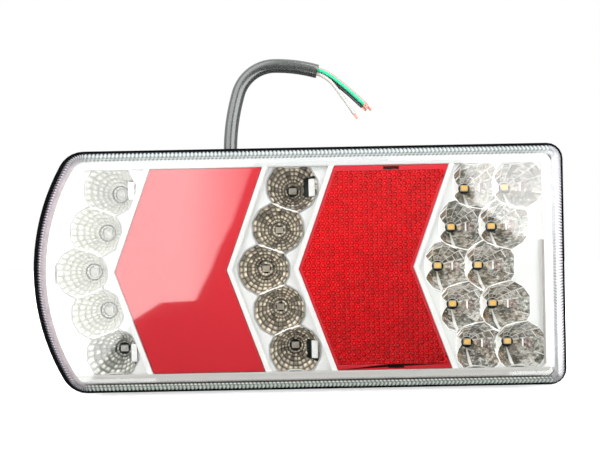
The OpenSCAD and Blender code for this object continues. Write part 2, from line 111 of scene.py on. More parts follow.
class Graph:
    """Adds shader nodes to a tree. Any value may be a constant or another node's output."""

    def __init__(self, tree):
        tree.nodes.clear()
        self.tree = tree

    def feed(self, socket, value):
        if isinstance(value, bpy.types.NodeSocket):
            self.tree.links.new(value, socket)
        else:
            socket.default_value = value

    def node(self, kind, **inputs):
        """Inputs are named after their sockets, with an underscore for a space."""
        added = self.tree.nodes.new("ShaderNode" + kind)
        for name, value in inputs.items():
            self.feed(added.inputs[name.replace("_", " ")], value)
        return added

    def math(self, operation, first, second=0.0, clamp=False):
        added = self.node("Math")
        added.operation = operation
        added.use_clamp = clamp
        self.feed(added.inputs[0], first)
        self.feed(added.inputs[1], second)
        return added.outputs[0]

    def mix(self, factor, first, second, blend="MIX"):
        added = self.node("Mix")
        added.data_type = "RGBA"
        added.blend_type = blend
        added.clamp_factor = True
        self.feed(added.inputs[0], factor)
        for socket, color in ((added.inputs[6], first), (added.inputs[7], second)):
            is_link = isinstance(color, bpy.types.NodeSocket)
            self.feed(socket, color if is_link else (*color, 1.0))
        return added.outputs[2]

    def mix_shader(self, factor, first, second):
        added = self.node("MixShader")
        for socket, value in zip(added.inputs, (factor, first, second)):
            self.feed(socket, value)
        return added.outputs[0]

    def coords(self, scale=(1.0, 1.0, 1.0)):
        source = self.node("TexCoord").outputs["Object"]
        return self.node("Mapping", Vector=source, Scale=scale).outputs[0]

    def noise(self, vector, scale, detail=3.0, rough=0.55):
        return self.node("TexNoise", Vector=vector, Scale=scale, Detail=detail,
                         Roughness=rough).outputs["Fac"]

    def remap(self, value, source, to=(0.0, 1.0)):
        added = self.node("MapRange")
        for socket, number in zip(added.inputs, (value, *source, *to)):
            self.feed(socket, number)
        return added.outputs[0]

    def spread(self, value, low=0.0, high=1.0):
        """Stretches a noise's usual range to low..high."""
        return self.remap(value, (0.3, 0.7), (low, high))

    def ramp(self, value, stops):
        """Grey levels at positions, as (position, level)."""
        added = self.node("ValToRGB", Fac=value)
        elements = added.color_ramp.elements
        for element, (position, level) in zip(elements, (stops[0], stops[-1])):
            element.position = position
            element.color = (level, level, level, 1.0)
        for position, level in stops[1:-1]:
            elements.new(position).color = (level, level, level, 1.0)
        return added.outputs[0]

    def attribute(self, name):
        added = self.node("Attribute")
        added.attribute_name = name
        return added

    def split(self, vector):
        return self.node("SeparateXYZ", Vector=vector).outputs

    def bump(self, height, strength, distance):
        return self.node("Bump", Height=height, Strength=strength, Distance=distance).outputs[0]

    def frontal(self, side, front):
        """One value for surfaces seen from in front of the lamp, another from its side."""
        _, y, _ = self.split(self.node("NewGeometry").outputs["Incoming"])
        return self.remap(y, (-0.62, -0.86), (side, front))

    def finish(self, shader):
        self.node("OutputMaterial", Surface=shader)


def new_material(name):
    material = bpy.data.materials.new(name)
    material.use_nodes = True
    MATERIALS[name] = material
    return Graph(material.node_tree)


# ---------------------------------------------------------------- kinds of material
def painted_edge_shade(graph, base, color):
    """Paints shade on the bezel's long edges, the lower one most, and a little on the bars
    between.
    """
    x, _, z = graph.split(graph.coords())
    base = graph.mix(graph.remap(z, (0.0422, 0.0432)), base, scaled(color, 0.65))
    bars = graph.math("MULTIPLY", graph.remap(x, (-0.086, -0.080)),
                      graph.remap(x, (0.075, 0.069)))
    bars = graph.math("MULTIPLY", bars,
                      graph.remap(graph.math("ABSOLUTE", z), (0.0425, 0.0420)))
    base = graph.mix(bars, base, scaled(color, 0.80))
    # painted shadow along the bezel's lower edge
    foot = [channel * share for channel, share in zip(color, (0.48, 0.465, 0.45))]
    return graph.mix(graph.remap(z, (-0.0422, -0.0432)), base, foot)


def plastic(name, color, rough=0.35, vary=0.08, grain=0.0, grain_scale=900.0, coat=0.0,
            spec=0.5, painted_glow=0.0, tint=None, scuff=0.0, band=False, front=None):
    """Moulded plastic or rubber: mottled colour, uneven roughness and a fine bump."""
    graph = new_material(name)
    coords = graph.coords()
    broad = graph.noise(coords, scale=45.0)
    fine = graph.noise(coords, scale=grain_scale, rough=0.6)
    base = graph.mix(graph.spread(broad), scaled(color, 1 - vary), scaled(color, 1 + vary))
    if tint is not None:
        patches = graph.noise(coords, scale=110.0, detail=2.0)
        base = graph.mix(graph.remap(patches, (0.45, 0.75), to=(0, 0.5)), base, tint)
    # painted shade on the bezel's long edges and bars
    if band:
        base = painted_edge_shade(graph, base, color)
    if scuff:
        marks = graph.noise(graph.coords((1.0, 1.0, 9.0)), scale=160.0, detail=5.0, rough=0.7)
        base = graph.mix(graph.remap(marks, (0.62, 0.75), to=(0, scuff)), base,
                         [min(1.0, channel + 0.18) for channel in color])
    if front is not None:
        # the polished rim at the front reads a deeper black than the grained back
        _, depth, _ = graph.split(graph.coords())
        _, facing, _ = graph.split(graph.node("NewGeometry").outputs["True Normal"])
        near_front = graph.math("MULTIPLY", graph.remap(depth, (-0.0150, -0.0170)),
                                graph.remap(facing, (-0.1, -0.3)))
        base = graph.mix(near_front, base, front)
    uneven = graph.math("MULTIPLY", graph.spread(fine), 0.12)
    shader = graph.node("BsdfPrincipled", Base_Color=base,
                        Roughness=graph.math("ADD", rough - 0.06, uneven, clamp=True),
                        Specular_IOR_Level=spec, Coat_Weight=coat, Coat_Roughness=0.06)
    if front is not None:
        graph.feed(shader.inputs["Specular IOR Level"],
                   graph.remap(near_front, (0, 1), to=(spec, 0.01)))
    # painted glow: emission brightens the colour of a part that is not lit
    if painted_glow:
        graph.feed(shader.inputs["Emission Color"], base)
        graph.feed(shader.inputs["Emission Strength"], painted_glow)
    if grain:
        graph.feed(shader.inputs["Normal"], graph.bump(fine, strength=grain, distance=0.00012))
    graph.finish(shader.outputs[0])


def clear_plastic(name):
    """Polished clear plastic without refraction: sees through, and mirrors by Fresnel."""
    tint = (0.97, 0.975, 0.975)
    ior = 1.49
    graph = new_material(name)
    coords = graph.coords()
    path = graph.node("LightPath").outputs
    soft = graph.math("MAXIMUM", path["Is Shadow Ray"], path["Is Diffuse Ray"])
    through = graph.node("BsdfTransparent", Color=graph.mix(soft, tint, scaled(tint, 0.80)))
    rough = graph.spread(graph.noise(coords, scale=260.0, detail=2.0), 0.01, 0.032)
    gloss = graph.node("BsdfGlossy", Color=(1, 1, 1, 1), Roughness=rough)
    backfacing = graph.node("NewGeometry").outputs["Backfacing"]
    fresnel = graph.node("Fresnel", IOR=graph.remap(backfacing, (0, 1), to=(ior, 1 / ior)))
    mirrored = graph.math("MULTIPLY", fresnel.outputs[0], graph.frontal(side=0.15, front=1.0),
                          clamp=True)
    graph.finish(graph.mix_shader(mirrored, through.outputs[0], gloss.outputs[0]))


def ribbed_plastic(name):
    """Ribbed edge of the lens with painted light: painted highlights on the crests, the dark tray
    behind painted into the valleys, and painted shade when seen from the side.
    """
    graph = new_material(name)
    rib = graph.attribute("rib").outputs
    mottle = graph.noise(graph.coords(), scale=420.0, detail=2.0)
    dim = graph.mix(1.0, rib["Color"], (0.8, 0.8, 0.8), "MULTIPLY")
    color = graph.mix(graph.spread(mottle), rib["Color"], dim)
    # painted shade: seen from the side the ribs are darkened
    color = graph.mix(graph.frontal(side=0.58, front=0.0), color, (0.15, 0.155, 0.16))
    solid = graph.node("BsdfPrincipled", Base_Color=color, Roughness=0.16,
                       Specular_IOR_Level=0.12)
    through = graph.node("BsdfTransparent", Color=(0.9, 0.92, 0.93, 1))
    seen = graph.node("LightPath").outputs["Is Camera Ray"]
    cover = graph.math("MULTIPLY", rib["Alpha"], seen)
    graph.finish(graph.mix_shader(cover, through.outputs[0], solid.outputs[0]))


def mirror_plastic(name, color, rough, vary, dull, painted_fold_light=0.0):
    """Metallised plastic: a slightly hazy mirror with streaks, with painted reflections: a tint
    facet by facet from the mesh and, if asked, dark and white patches painted as creased foil
    catching light.
    """
    graph = new_material(name)
    coords = graph.coords()
    streaks = graph.noise(coords, scale=260.0, detail=4.0, rough=0.6)
    haze = graph.noise(coords, scale=70.0, detail=2.0)
    base = graph.mix(1.0, color, graph.attribute("tint").outputs["Color"], "MULTIPLY")
    base = graph.mix(graph.remap(streaks, (0.35, 0.7), to=(0.0, vary)), base,
                     scaled(color, 0.45))
    # painted reflection: dark and white patches as if creased foil caught the light
    if painted_fold_light:
        folds = graph.noise(graph.coords((1.0, 1.0, 1.7)), scale=480.0, rough=0.7)
        base = graph.mix(graph.remap(folds, (0.50, 0.58), to=(0.0, painted_fold_light)), base,
                         graph.mix(1.0, base, (0.24, 0.22, 0.20), "MULTIPLY"))
        base = graph.mix(graph.remap(folds, (0.43, 0.37), to=(0.0, painted_fold_light)), base,
                         (1.0, 1.0, 0.98))
    shader = graph.node("BsdfPrincipled", Base_Color=base, Metallic=1.0 - dull,
                        Roughness=graph.spread(haze, rough * 0.6, rough * 1.5),
                        Normal=graph.bump(streaks, strength=0.12, distance=0.0002))
    graph.finish(shader.outputs[0])


def window_glint(name):
    """A silvered facet with a painted reflection of a bright window: near-white and glowing by
    emission.
    """
    graph = new_material(name)
    mottle = graph.noise(graph.coords(), scale=300.0)
    color = graph.mix(graph.spread(mottle), (0.86, 0.86, 0.84), (0.92, 0.92, 0.90))
    shader = graph.node("BsdfPrincipled", Base_Color=color, Roughness=0.3,
                        Emission_Color=(1, 1, 0.98, 1), Emission_Strength=0.42,
                        Normal=graph.bump(mottle, strength=0.05, distance=0.0001))
    graph.finish(shader.outputs[0])


def red_plastic(name, base, rough, low, right, spec, with_painted_light=False):
    """Red acrylic with painted shade, darker towards the foot (low) and the right; the last flag
    multiplies in the mesh's tint attribute, which holds painted light.
    """
    graph = new_material(name)
    coords = graph.coords()
    broad = graph.noise(coords, scale=9.0, detail=2.0)
    fine = graph.noise(coords, scale=700.0, detail=2.0)
    color = graph.mix(graph.spread(broad), scaled(base, 0.86), scaled(base, 1.12))
    # the mesh's tint attribute holds the prism cells' painted light and shade
    if with_painted_light:
        color = graph.mix(1.0, color, graph.attribute("tint").outputs["Color"], "MULTIPLY")
    # painted shade: darker towards the foot and the right
    x, _, z = graph.split(graph.coords())
    light = graph.math("MULTIPLY", graph.remap(z, (-0.042, 0.03), to=(low, 1.0)),
                       graph.remap(x, (0.0, 0.07), to=(1.0, right)))
    color = graph.mix(graph.math("SUBTRACT", 1.0, light, clamp=True), color, (0, 0, 0))
    shader = graph.node("BsdfPrincipled", Base_Color=color, Specular_IOR_Level=spec,
                        Roughness=graph.spread(fine, rough * 0.7, rough * 1.5),
                        Normal=graph.bump(fine, strength=0.03, distance=0.0001))
    graph.finish(shader.outputs[0])


def circuit_board(name):
    """Green solder mask with a paler grid of tracks."""
    graph = new_material(name)
    grid = graph.node("TexBrick", Vector=graph.coords((1000.0,) * 3), Scale=0.12,
                      Mortar_Size=0.05, Color1=(0.008, 0.035, 0.016, 1),
                      Color2=(0.010, 0.045, 0.020, 1), Mortar=(0.020, 0.085, 0.038, 1))
    mottle = graph.noise(graph.coords(), scale=300.0)
    color = graph.mix(graph.remap(mottle, (0.35, 0.7), to=(0, 0.4)), grid.outputs["Color"],
                      (0.006, 0.02, 0.012))
    shader = graph.node("BsdfPrincipled", Base_Color=color, Roughness=0.32,
                        Normal=graph.bump(grid.outputs["Fac"], strength=0.2, distance=0.00005))
    graph.finish(shader.outputs[0])


def metal(name, color, rough, patina=None):
    graph = new_material(name)
    fine = graph.noise(graph.coords(), scale=900.0, detail=4.0, rough=0.65)
    broad = graph.noise(graph.coords(), scale=130.0)
    base = graph.mix(graph.spread(broad), scaled(color, 0.82), scaled(color, 1.1))
    if patina:
        spots = graph.noise(graph.coords(), scale=320.0, detail=5.0, rough=0.7)
        base = graph.mix(graph.remap(spots, (0.55, 0.8), to=(0, 0.55)), base, patina)
    shader = graph.node("BsdfPrincipled", Base_Color=base, Metallic=1.0,
                        Roughness=graph.spread(fine, rough * 0.7, rough * 1.4),
                        Normal=graph.bump(fine, strength=0.15, distance=0.00008))
    graph.finish(shader.outputs[0])


# ---------------------------------------------------------------- the lamp's materials
plastic("black_abs", (0.013, 0.013, 0.014), rough=0.55, vary=0.15, grain=0.35,
        grain_scale=1400.0, scuff=0.03, spec=0.10, front=(0.0025, 0.0025, 0.003))
clear_plastic("clear_acrylic")
ribbed_plastic("ribbed_clear")
# band=True gives the bezel painted shade along its long edges and bars
plastic("bezel_white", (0.84, 0.84, 0.82), rough=0.34, vary=0.03, grain=0.02,
        grain_scale=500.0, spec=0.25, band=True)
plastic("pocket_white", (0.69, 0.69, 0.67), rough=0.20, vary=0.04, grain=0.04,
        grain_scale=500.0, coat=0.5)
mirror_plastic("silvered_plastic", (0.80, 0.80, 0.76), rough=0.16, vary=0.15, dull=0.55)
mirror_plastic("warm_silvered_plastic", (0.78, 0.72, 0.62), rough=0.11, vary=0.2, dull=0.5)
# the reversing bowls' silver gets painted creases of light and shade
mirror_plastic("faceted_silver", (0.80, 0.785, 0.755), rough=0.18, vary=0.15, dull=0.62,
               painted_fold_light=0.85)
plastic("ridge_white", (0.86, 0.86, 0.84), rough=0.2, vary=0.03, grain=0.03,
        grain_scale=500.0, coat=0.6)
window_glint("window_glint")
# low and right set the red panels' painted shade towards the foot and the right
red_plastic("red_acrylic", (0.56, 0.022, 0.032), rough=0.07, low=0.76, right=1.0, spec=0.18)
red_plastic("red_prism_cells", (0.77, 0.002, 0.005), rough=0.16, low=0.70, right=0.80,
            spec=0.06, with_painted_light=True)
plastic("shaded_white", (0.33, 0.31, 0.29), rough=0.3, vary=0.06, grain=0.05,
        grain_scale=700.0, coat=0.2)
# pale copies of the LED materials for the indicator: a painted reflection washes them out
plastic("led_gel_painted_reflection", (0.62, 0.61, 0.56), rough=0.12, grain=0.05, grain_scale=2500.0,
        coat=0.8, tint=(0.72, 0.70, 0.66))
plastic("led_body_painted_reflection", (0.70, 0.69, 0.65), vary=0.05, grain=0.05, grain_scale=2500.0)
plastic("white_plastic", (0.78, 0.78, 0.77), rough=0.28, vary=0.04, grain=0.05,
        grain_scale=700.0, coat=0.3)
plastic("black_rubber", (0.012, 0.012, 0.012), rough=0.62, vary=0.2, grain=0.3,
        grain_scale=1600.0, spec=0.3)
circuit_board("green_board")
plastic("black_aperture", (0.006, 0.006, 0.006), rough=0.6, vary=0.3, grain=0.1, spec=0.2)
plastic("led_body", (0.60, 0.56, 0.49), vary=0.05, grain=0.05, grain_scale=2500.0)
plastic("led_gel", (0.62, 0.57, 0.49), rough=0.12, vary=0.12, grain=0.05, grain_scale=2500.0,
        coat=0.8, tint=(0.40, 0.37, 0.33))
# the reversing LEDs' phosphor gets a painted glow; the LEDs are not lit
plastic("led_phosphor", (1.0, 0.56, 0.12), rough=0.25, vary=0.10, grain=0.05,
        grain_scale=2500.0, coat=0.3, painted_glow=0.32, tint=(1.0, 0.80, 0.38))
plastic("component_black", (0.02, 0.02, 0.022), rough=0.5, vary=0.2, grain=0.3,
        grain_scale=2500.0)
metal("capacitor_aluminium", (0.74, 0.75, 0.76), rough=0.3)
metal("zinc_plated_steel", (0.68, 0.70, 0.72), rough=0.30, patina=(0.50, 0.50, 0.46))
plastic("grey_pvc", (0.030, 0.034, 0.031), rough=0.27, vary=0.15, grain=0.08,
        grain_scale=800.0, coat=0.35, spec=0.7, scuff=0.05)
plastic("red_pvc", (0.74, 0.055, 0.075), rough=0.30, grain=0.06, grain_scale=1500.0, coat=0.3)
plastic("green_pvc", (0.006, 0.40, 0.20), rough=0.28, grain=0.06, grain_scale=1500.0, coat=0.3)
plastic("black_pvc", (0.018, 0.018, 0.018), rough=0.30, vary=0.15, grain=0.06,
        grain_scale=1500.0, coat=0.3)
plastic("white_pvc", (0.36, 0.34, 0.32), rough=0.32, vary=0.06, grain=0.06,
        grain_scale=1500.0, coat=0.2)
metal("copper", (0.62, 0.27, 0.20), rough=0.36, patina=(0.40, 0.16, 0.09))
plastic("white_membrane", (0.85, 0.85, 0.84), rough=0.85, vary=0.05, grain=0.5,
        grain_scale=3000.0, spec=0.2)


# ---------------------------------------------------------------- mesh helpers
def add_piece(name, mesh, materials, body="lamp", slot=None, replaces=(), smooth=35.0,
              bevel=None, solid=None):
    """Adds an object from a mesh or bmesh. bevel and solid (thickness) are in mm."""
    if isinstance(mesh, bmesh.types.BMesh):
        source = mesh
        mesh = bpy.data.meshes.new(name)
        source.to_mesh(mesh)
        source.free()
    for material in materials:
        mesh.materials.append(MATERIALS[material])
    piece = bpy.data.objects.new(name, mesh)
    bpy.context.scene.collection.objects.link(piece)
    if smooth is not None:
        mesh.shade_smooth()
        mesh.set_sharp_from_angle(angle=math.radians(smooth))
    if solid:
        modifier = piece.modifiers.new("thickness", "SOLIDIFY")
        modifier.thickness = solid * MM
        modifier.offset = -1.0
    if bevel:
        modifier = piece.modifiers.new("edges", "BEVEL")
        modifier.width = bevel * MM
        modifier.segments = 2
        modifier.limit_method = "ANGLE"
        modifier.angle_limit = math.radians(40)
        modifier.harden_normals = False
    if body:
        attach(piece, body)
    if replaces:
        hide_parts(*replaces)
    return piece


def recalc(shell):
    bmesh.ops.recalc_face_normals(shell, faces=shell.faces[:])


def recalc_mesh(mesh):
    shell = bmesh.new()
    shell.from_mesh(mesh)
    recalc(shell)
    shell.to_mesh(mesh)
    shell.free()


def open_mesh(name, verts, faces):
    mesh = bpy.data.meshes.new(name)
    mesh.from_pydata([at(*vert) for vert in verts], [], faces)
    mesh.update()
    return mesh


def closed_mesh(name, verts, faces):
    mesh = open_mesh(name, verts, faces)
    recalc_mesh(mesh)
    return mesh


def ring_faces(rings, seg, wrap=False):
    """Quads between rings of seg points; the last ring joins the first, or both are capped."""
    faces = []
    for ring in range(rings if wrap else rings - 1):
        here, there = ring * seg, (ring + 1) % rings * seg
        for i in range(seg):
            j = (i + 1) % seg
            faces.append((here + i, here + j, there + j, there + i))
    if not wrap:
        faces.append(tuple(range(seg))[::-1])
        faces.append(tuple((rings - 1) * seg + i for i in range(seg)))
    return faces


def bridge(shell, low, high, material=0):
    """Quads between two rings of bmesh vertices."""
    for i in range(len(low)):
        j = (i + 1) % len(low)
        shell.faces.new((low[i], low[j], high[j], high[i])).material_index = material


def polar(centre, radius, angle):
    turn = math.radians(angle)
    return (centre[0] + radius * math.cos(turn), centre[1] + radius * math.sin(turn))


def arc(x, y, radius, start, end, count):
    """count points from start towards end (degrees), leaving out the end itself."""
    return [polar((x, y), radius, start + (end - start) * i / count) for i in range(count)]


def outline(inset_y, inset_x, left_r, right_r, counts=(10, 1, 10, 40, 10, 1, 10, 1)):
    """The lamp's outline stood in at top and bottom and at the ends.

    Runs anticlockwise from the right edge's top. counts are the points on each stretch:
    top right corner, top, top left corner, left end, and so on round to the right edge.
    """
    half, right, end_r = HEIGHT / 2 - inset_y, WIDTH / 2 - inset_x, END_R - inset_x
    left = END_X - math.sqrt((end_r - left_r) ** 2 - (half - left_r) ** 2)
    meet = math.degrees(math.atan2(half - left_r, left - END_X))
    points = arc(right - right_r, half - right_r, right_r, 0, 90, counts[0])
    points += [(right - right_r + (left - right + right_r) * i / counts[1], half)
               for i in range(counts[1])]
    points += arc(left, half - left_r, left_r, 90, meet, counts[2])
    points += arc(END_X, 0, end_r, meet, 360 - meet, counts[3])
    points += arc(left, left_r - half, left_r, 360 - meet, 270, counts[4])
    points += [(left + (right - right_r - left) * i / counts[5], -half)
               for i in range(counts[5])]
    points += arc(right - right_r, right_r - half, right_r, 270, 360, counts[6])
    points += [(right, (right_r - half) + 2 * (half - right_r) * i / counts[7])
               for i in range(counts[7])]
    return points


def chevron(x0, x1, half):
    """A section from x0 to x1 at mid height whose ends lean right above and below."""
    lean = half * SLOPE
    return [(x0, 0), (x0 + lean, half), (x1 + lean, half),
            (x1, 0), (x1 + lean, -half), (x0 + lean, -half)][::-1]


def beyond(edge, far):
    """A big loop from a section's bent edge out to x = far."""
    return [(edge + 60 * SLOPE, 60), (edge, 0), (edge + 60 * SLOPE, -60), (far, -60), (far, 60)]


def rectangle(x0, x1, y0, y1):
    return [(x0, y0), (x1, y0), (x1, y1), (x0, y1)]


def inside(loop, x, y):
    odd = False
    for (x1, y1), (x2, y2) in zip(loop, loop[-1:] + loop[:-1]):
        if (y1 > y) != (y2 > y) and x < (x2 - x1) * (y - y1) / (y2 - y1) + x1:
            odd = not odd
    return odd


def inside_any(loops, x, y):
    return any(inside(loop, x, y) for loop in loops)


def region(loops, keep):
    """The plane cut up by the loops, as flat faces where keep(x, y) holds, in mm at z = 0."""
    points, edges = [], []
    for loop in loops:
        first = len(points)
        points += [Vector(point) for point in loop]
        edges += [(first + i, first + (i + 1) % len(loop)) for i in range(len(loop))]
    found, _, triangles, *_ = delaunay_2d_cdt(points, edges, [], 0, 1e-4)
    shell = bmesh.new()
    verts = [shell.verts.new((point.x, point.y, 0)) for point in found]
    for triangle in triangles:
        mid_x = sum(found[i].x for i in triangle) / len(triangle)
        mid_y = sum(found[i].y for i in triangle) / len(triangle)
        if keep(mid_x, mid_y):
            shell.faces.new([verts[i] for i in triangle])
    loose = [vert for vert in shell.verts if not vert.link_faces]
    bmesh.ops.delete(shell, geom=loose, context="VERTS")
    bmesh.ops.dissolve_limit(shell, angle_limit=math.radians(0.5), verts=shell.verts[:],
                             edges=shell.edges[:], delimit=set())
    return shell


def plate(name, loops, keep, back, front, materials, **options):
    """A region thickened from z = back to z = front."""
    shell = region(loops, keep)
    for vert in shell.verts:
        vert.co.z = back
    for item in bmesh.ops.extrude_face_region(shell, geom=shell.faces[:])["geom"]:
        if isinstance(item, bmesh.types.BMVert):
            item.co.z = front
    recalc(shell)
    for vert in shell.verts:
        vert.co = at(*vert.co)
    add_piece(name, shell, materials, **options)


def tint_and_painted_light_layer(shell):
    # the layer holds painted light and shade for cups, bowls and prism cells, with the cups' own
    # tint
    return shell.loops.layers.float_color.new("tint")


def bisect(shell, x, y, normal, clear=True):
    """Cuts by a plane square to the lamp's face and drops what lies along the normal."""
    bmesh.ops.bisect_plane(shell, geom=shell.verts[:] + shell.edges[:] + shell.faces[:],
                           plane_co=at(x, y, 0), plane_no=Vector((normal[0], 0, normal[1])),
                           clear_outer=clear, dist=1e-7)


def cut_box(shell, x0, x1, y0, y1):
    for x in (x0, x1):
        bisect(shell, x, 0, (1, 0), clear=False)
    for y in (y0, y1):
        bisect(shell, 0, y, (0, 1), clear=False)
    doomed = []
    for face in shell.faces:
        middle = face.calc_center_median()
        if x0 * MM < middle.x < x1 * MM and y0 * MM < middle.z < y1 * MM:
            doomed.append(face)
    bmesh.ops.delete(shell, geom=doomed, context="FACES")


def merge(target, source):
    mesh = bpy.data.meshes.new("tmp")
    source.to_mesh(mesh)
    target.from_mesh(mesh)
    bpy.data.meshes.remove(mesh)
    source.free()


def turn_forwards(shell):
    """Makes the normals agree and point out of the lamp's front."""
    recalc(shell)
    if sum(face.normal.y * face.calc_area() for face in shell.faces) > 0:
        bmesh.ops.reverse_faces(shell, faces=shell.faces[:])


def add_beads(shell, edges, half):
    """A small square bead, half its width in mm, along each pair of frame points."""
    half *= MM
    square = ((-1, -1), (1, -1), (1, 1), (-1, 1))
    for start, end in edges:
        along = end - start
        if along.length < 1e-6:
            continue
        along.normalize()
        side = Vector((along.z, 0, -along.x))
        side = side.normalized() if side.length > 1e-9 else Vector((1, 0, 0))
        rise = along.cross(side).normalized()
        ends = []
        for point in (start - along * half * 0.6, end + along * half * 0.6):
            ends.append([shell.verts.new(point + side * half * x + rise * half * y)
                         for x, y in square])
        bridge(shell, *ends)
        shell.faces.new(ends[0][::-1])
        shell.faces.new(ends[1])


def outer_boundary(shell, x, y, r_min):
    """Open edges of a cup or bowl, leaving out its throat."""
    found = []
    for edge in shell.edges:
        if edge.is_boundary:
            start, end = (vert.co.copy() for vert in edge.verts)
            middle = (start + end) / 2
            if math.hypot(middle.x / MM - x, middle.z / MM - y) > r_min:
                found.append((start, end))
    return found


# ---------------------------------------------------------------- bezel
BEZEL_EDGE = outline(6.35, 10.05, 8.5, 4.4)
WINDOW = outline(HEIGHT / 2 - WINDOW_Y, 13.7, 6, 2)
OPENINGS = [chevron(TAIL_X0, TAIL_X1, WINDOW_Y), chevron(STOP_X0, STOP_X1, WINDOW_Y),
            chevron(REFLEX_X0, REFLEX_X1, WINDOW_Y)]


def in_bezel(x, y):
    lean = abs(y) * SLOPE
    in_end = inside(WINDOW, x, y) and (x < INDICATOR_EDGE + lean or x > REVERSE_EDGE + lean)
    return inside(BEZEL_EDGE, x, y) and not in_end and not inside_any(OPENINGS, x, y)


plate("bezel_face",
      [BEZEL_EDGE, WINDOW, beyond(INDICATOR_EDGE, -200), beyond(REVERSE_EDGE, 200)] + OPENINGS,
      in_bezel, RIM_Z, BEZEL_Z, ["bezel_white"], slot="bezel_white", replaces=["bezel"],
      bevel=0.45, smooth=30)

# the skirt stands on the tray; rings as z and the outline's insets and corner radii
SKIRT = [
    (RIM_Z, (6.6, 10.4, 8.3, 4.2)), (FLANGE_Z + 0.1, (7.0, 11.3, 8, 4)),
    (FLANGE_Z + 0.1, (8.2, 12.5, 7, 3)), (RIM_Z, (8.2, 12.5, 7, 3)),
]
skirt = [(x, y, z) for z, shape in SKIRT for x, y in outline(*shape)]
add_piece("bezel_skirt",
          closed_mesh("bezel_skirt", skirt,
                      ring_faces(len(SKIRT), len(skirt) // len(SKIRT), wrap=True)),
          ["bezel_white"], slot="bezel_white")

# ---------------------------------------------------------------- pillow cups
CUP_R, CUP_THROAT_R = 11.1, 2.5
CUP_BANDS = [CUP_THROAT_R, 3.7, 5.1, 6.6, 8.1, 9.6, CUP_R]    # radii between rings of pillows
CUP_FLARE = CUP_R * CUP_R - CUP_THROAT_R ** 2
# painted reflections: each pillow is drawn a brightness, as if it mirrored something different
PILLOW_REFLECTION_LEVELS = (0.45, 0.7, 0.85, 1.0, 1.15, 1.5)    # brightness, drawn pillow by pillow
PILLOW_STEPS = 6
CUT_Y = WINDOW_Y + 0.5            # cups and bowls end here above and below


def pillow_point(band, radius, angle, along, across):
    """Radius and height on a pillow; along and across run -1..1 over it."""
    # past the first band the rings have twelve flat sides
    off = abs(angle - 30.0 * round(angle / 30.0))
    flat = radius
    if band:
        flat = radius * math.cos(math.radians(15)) / math.cos(math.radians(off))
    z = CUP_Z + (radius * radius - CUP_THROAT_R ** 2) / CUP_FLARE * (RIM_Z - CUP_Z)
    # bulge towards the cup's axis and mouth
    bulge = (1 - along ** 2) * (1 - across ** 2) * (0.22 + 0.055 * band)
    slope = 2 * radius / CUP_FLARE * (RIM_Z - CUP_Z)
    length = math.hypot(1, slope)
    return flat - bulge * slope / length, z + bulge / length


def pillow_painted_light(along, across, level, soft):
    """Painted light over a pillow: a painted highlight in the middle and painted shade at its
    edges, between a crisp glint (soft = 0) and a mild one (soft = 1).
    """
    edge = max(abs(along) ** 2.0, 0.85 * abs(across) ** 4)
    highlight = math.exp(-(along / 0.42) ** 2 - (across / 0.5) ** 2)
    crisp = ((0.93 + 1.25 * highlight * (level > 0.8)) * (1 - edge) + 0.06 * edge) * level
    mild = 0.9 + 0.42 * highlight - 0.34 * edge
    return crisp * (1 - soft) + mild * soft


def pillow_cup(mid_x, mid_y, tint, seed, soft):
    shell = bmesh.new()
    layer = tint_and_painted_light_layer(shell)
    rng = random.Random(seed)
    for band, (inner, outer) in enumerate(zip(CUP_BANDS, CUP_BANDS[1:])):
        count = 24 if band else 12
        step = 360.0 / count
        for pillow in range(count):
            start = pillow * step - step / 2
            level = rng.choice(PILLOW_REFLECTION_LEVELS)
            grid = []
            for i in range(PILLOW_STEPS + 1):
                line = []
                radius = inner + (outer - inner) * (i / PILLOW_STEPS)
                along = 2 * (i / PILLOW_STEPS) - 1
                for j in range(PILLOW_STEPS + 1):
                    angle = start + step * (j / PILLOW_STEPS)
                    across = 2 * (j / PILLOW_STEPS) - 1
                    reach, z = pillow_point(band, radius, angle, along, across)
                    vert = shell.verts.new(at(*polar((mid_x, mid_y), reach, angle), z))
                    line.append((vert, pillow_painted_light(along, across, level, soft)))
                grid.append(line)
            for i in range(PILLOW_STEPS):
                for j in range(PILLOW_STEPS):
                    quad = (grid[i][j], grid[i + 1][j], grid[i + 1][j + 1], grid[i][j + 1])
                    face = shell.faces.new([vert for vert, _ in quad])
                    for loop, (_, tone) in zip(face.loops, quad):
                        loop[layer] = (*[channel * tone for channel in tint], 1.0)
    return shell


def slot_box(strip_x, row):
    """The rectangular slot on the right of an end cup: x0, x1, y0, y1."""
    x, y = row_place(strip_x, row)
    return x + 4.8, x + 9.8, y - 4.15 + 0.3 * row, y + 4.15 + 0.3 * row


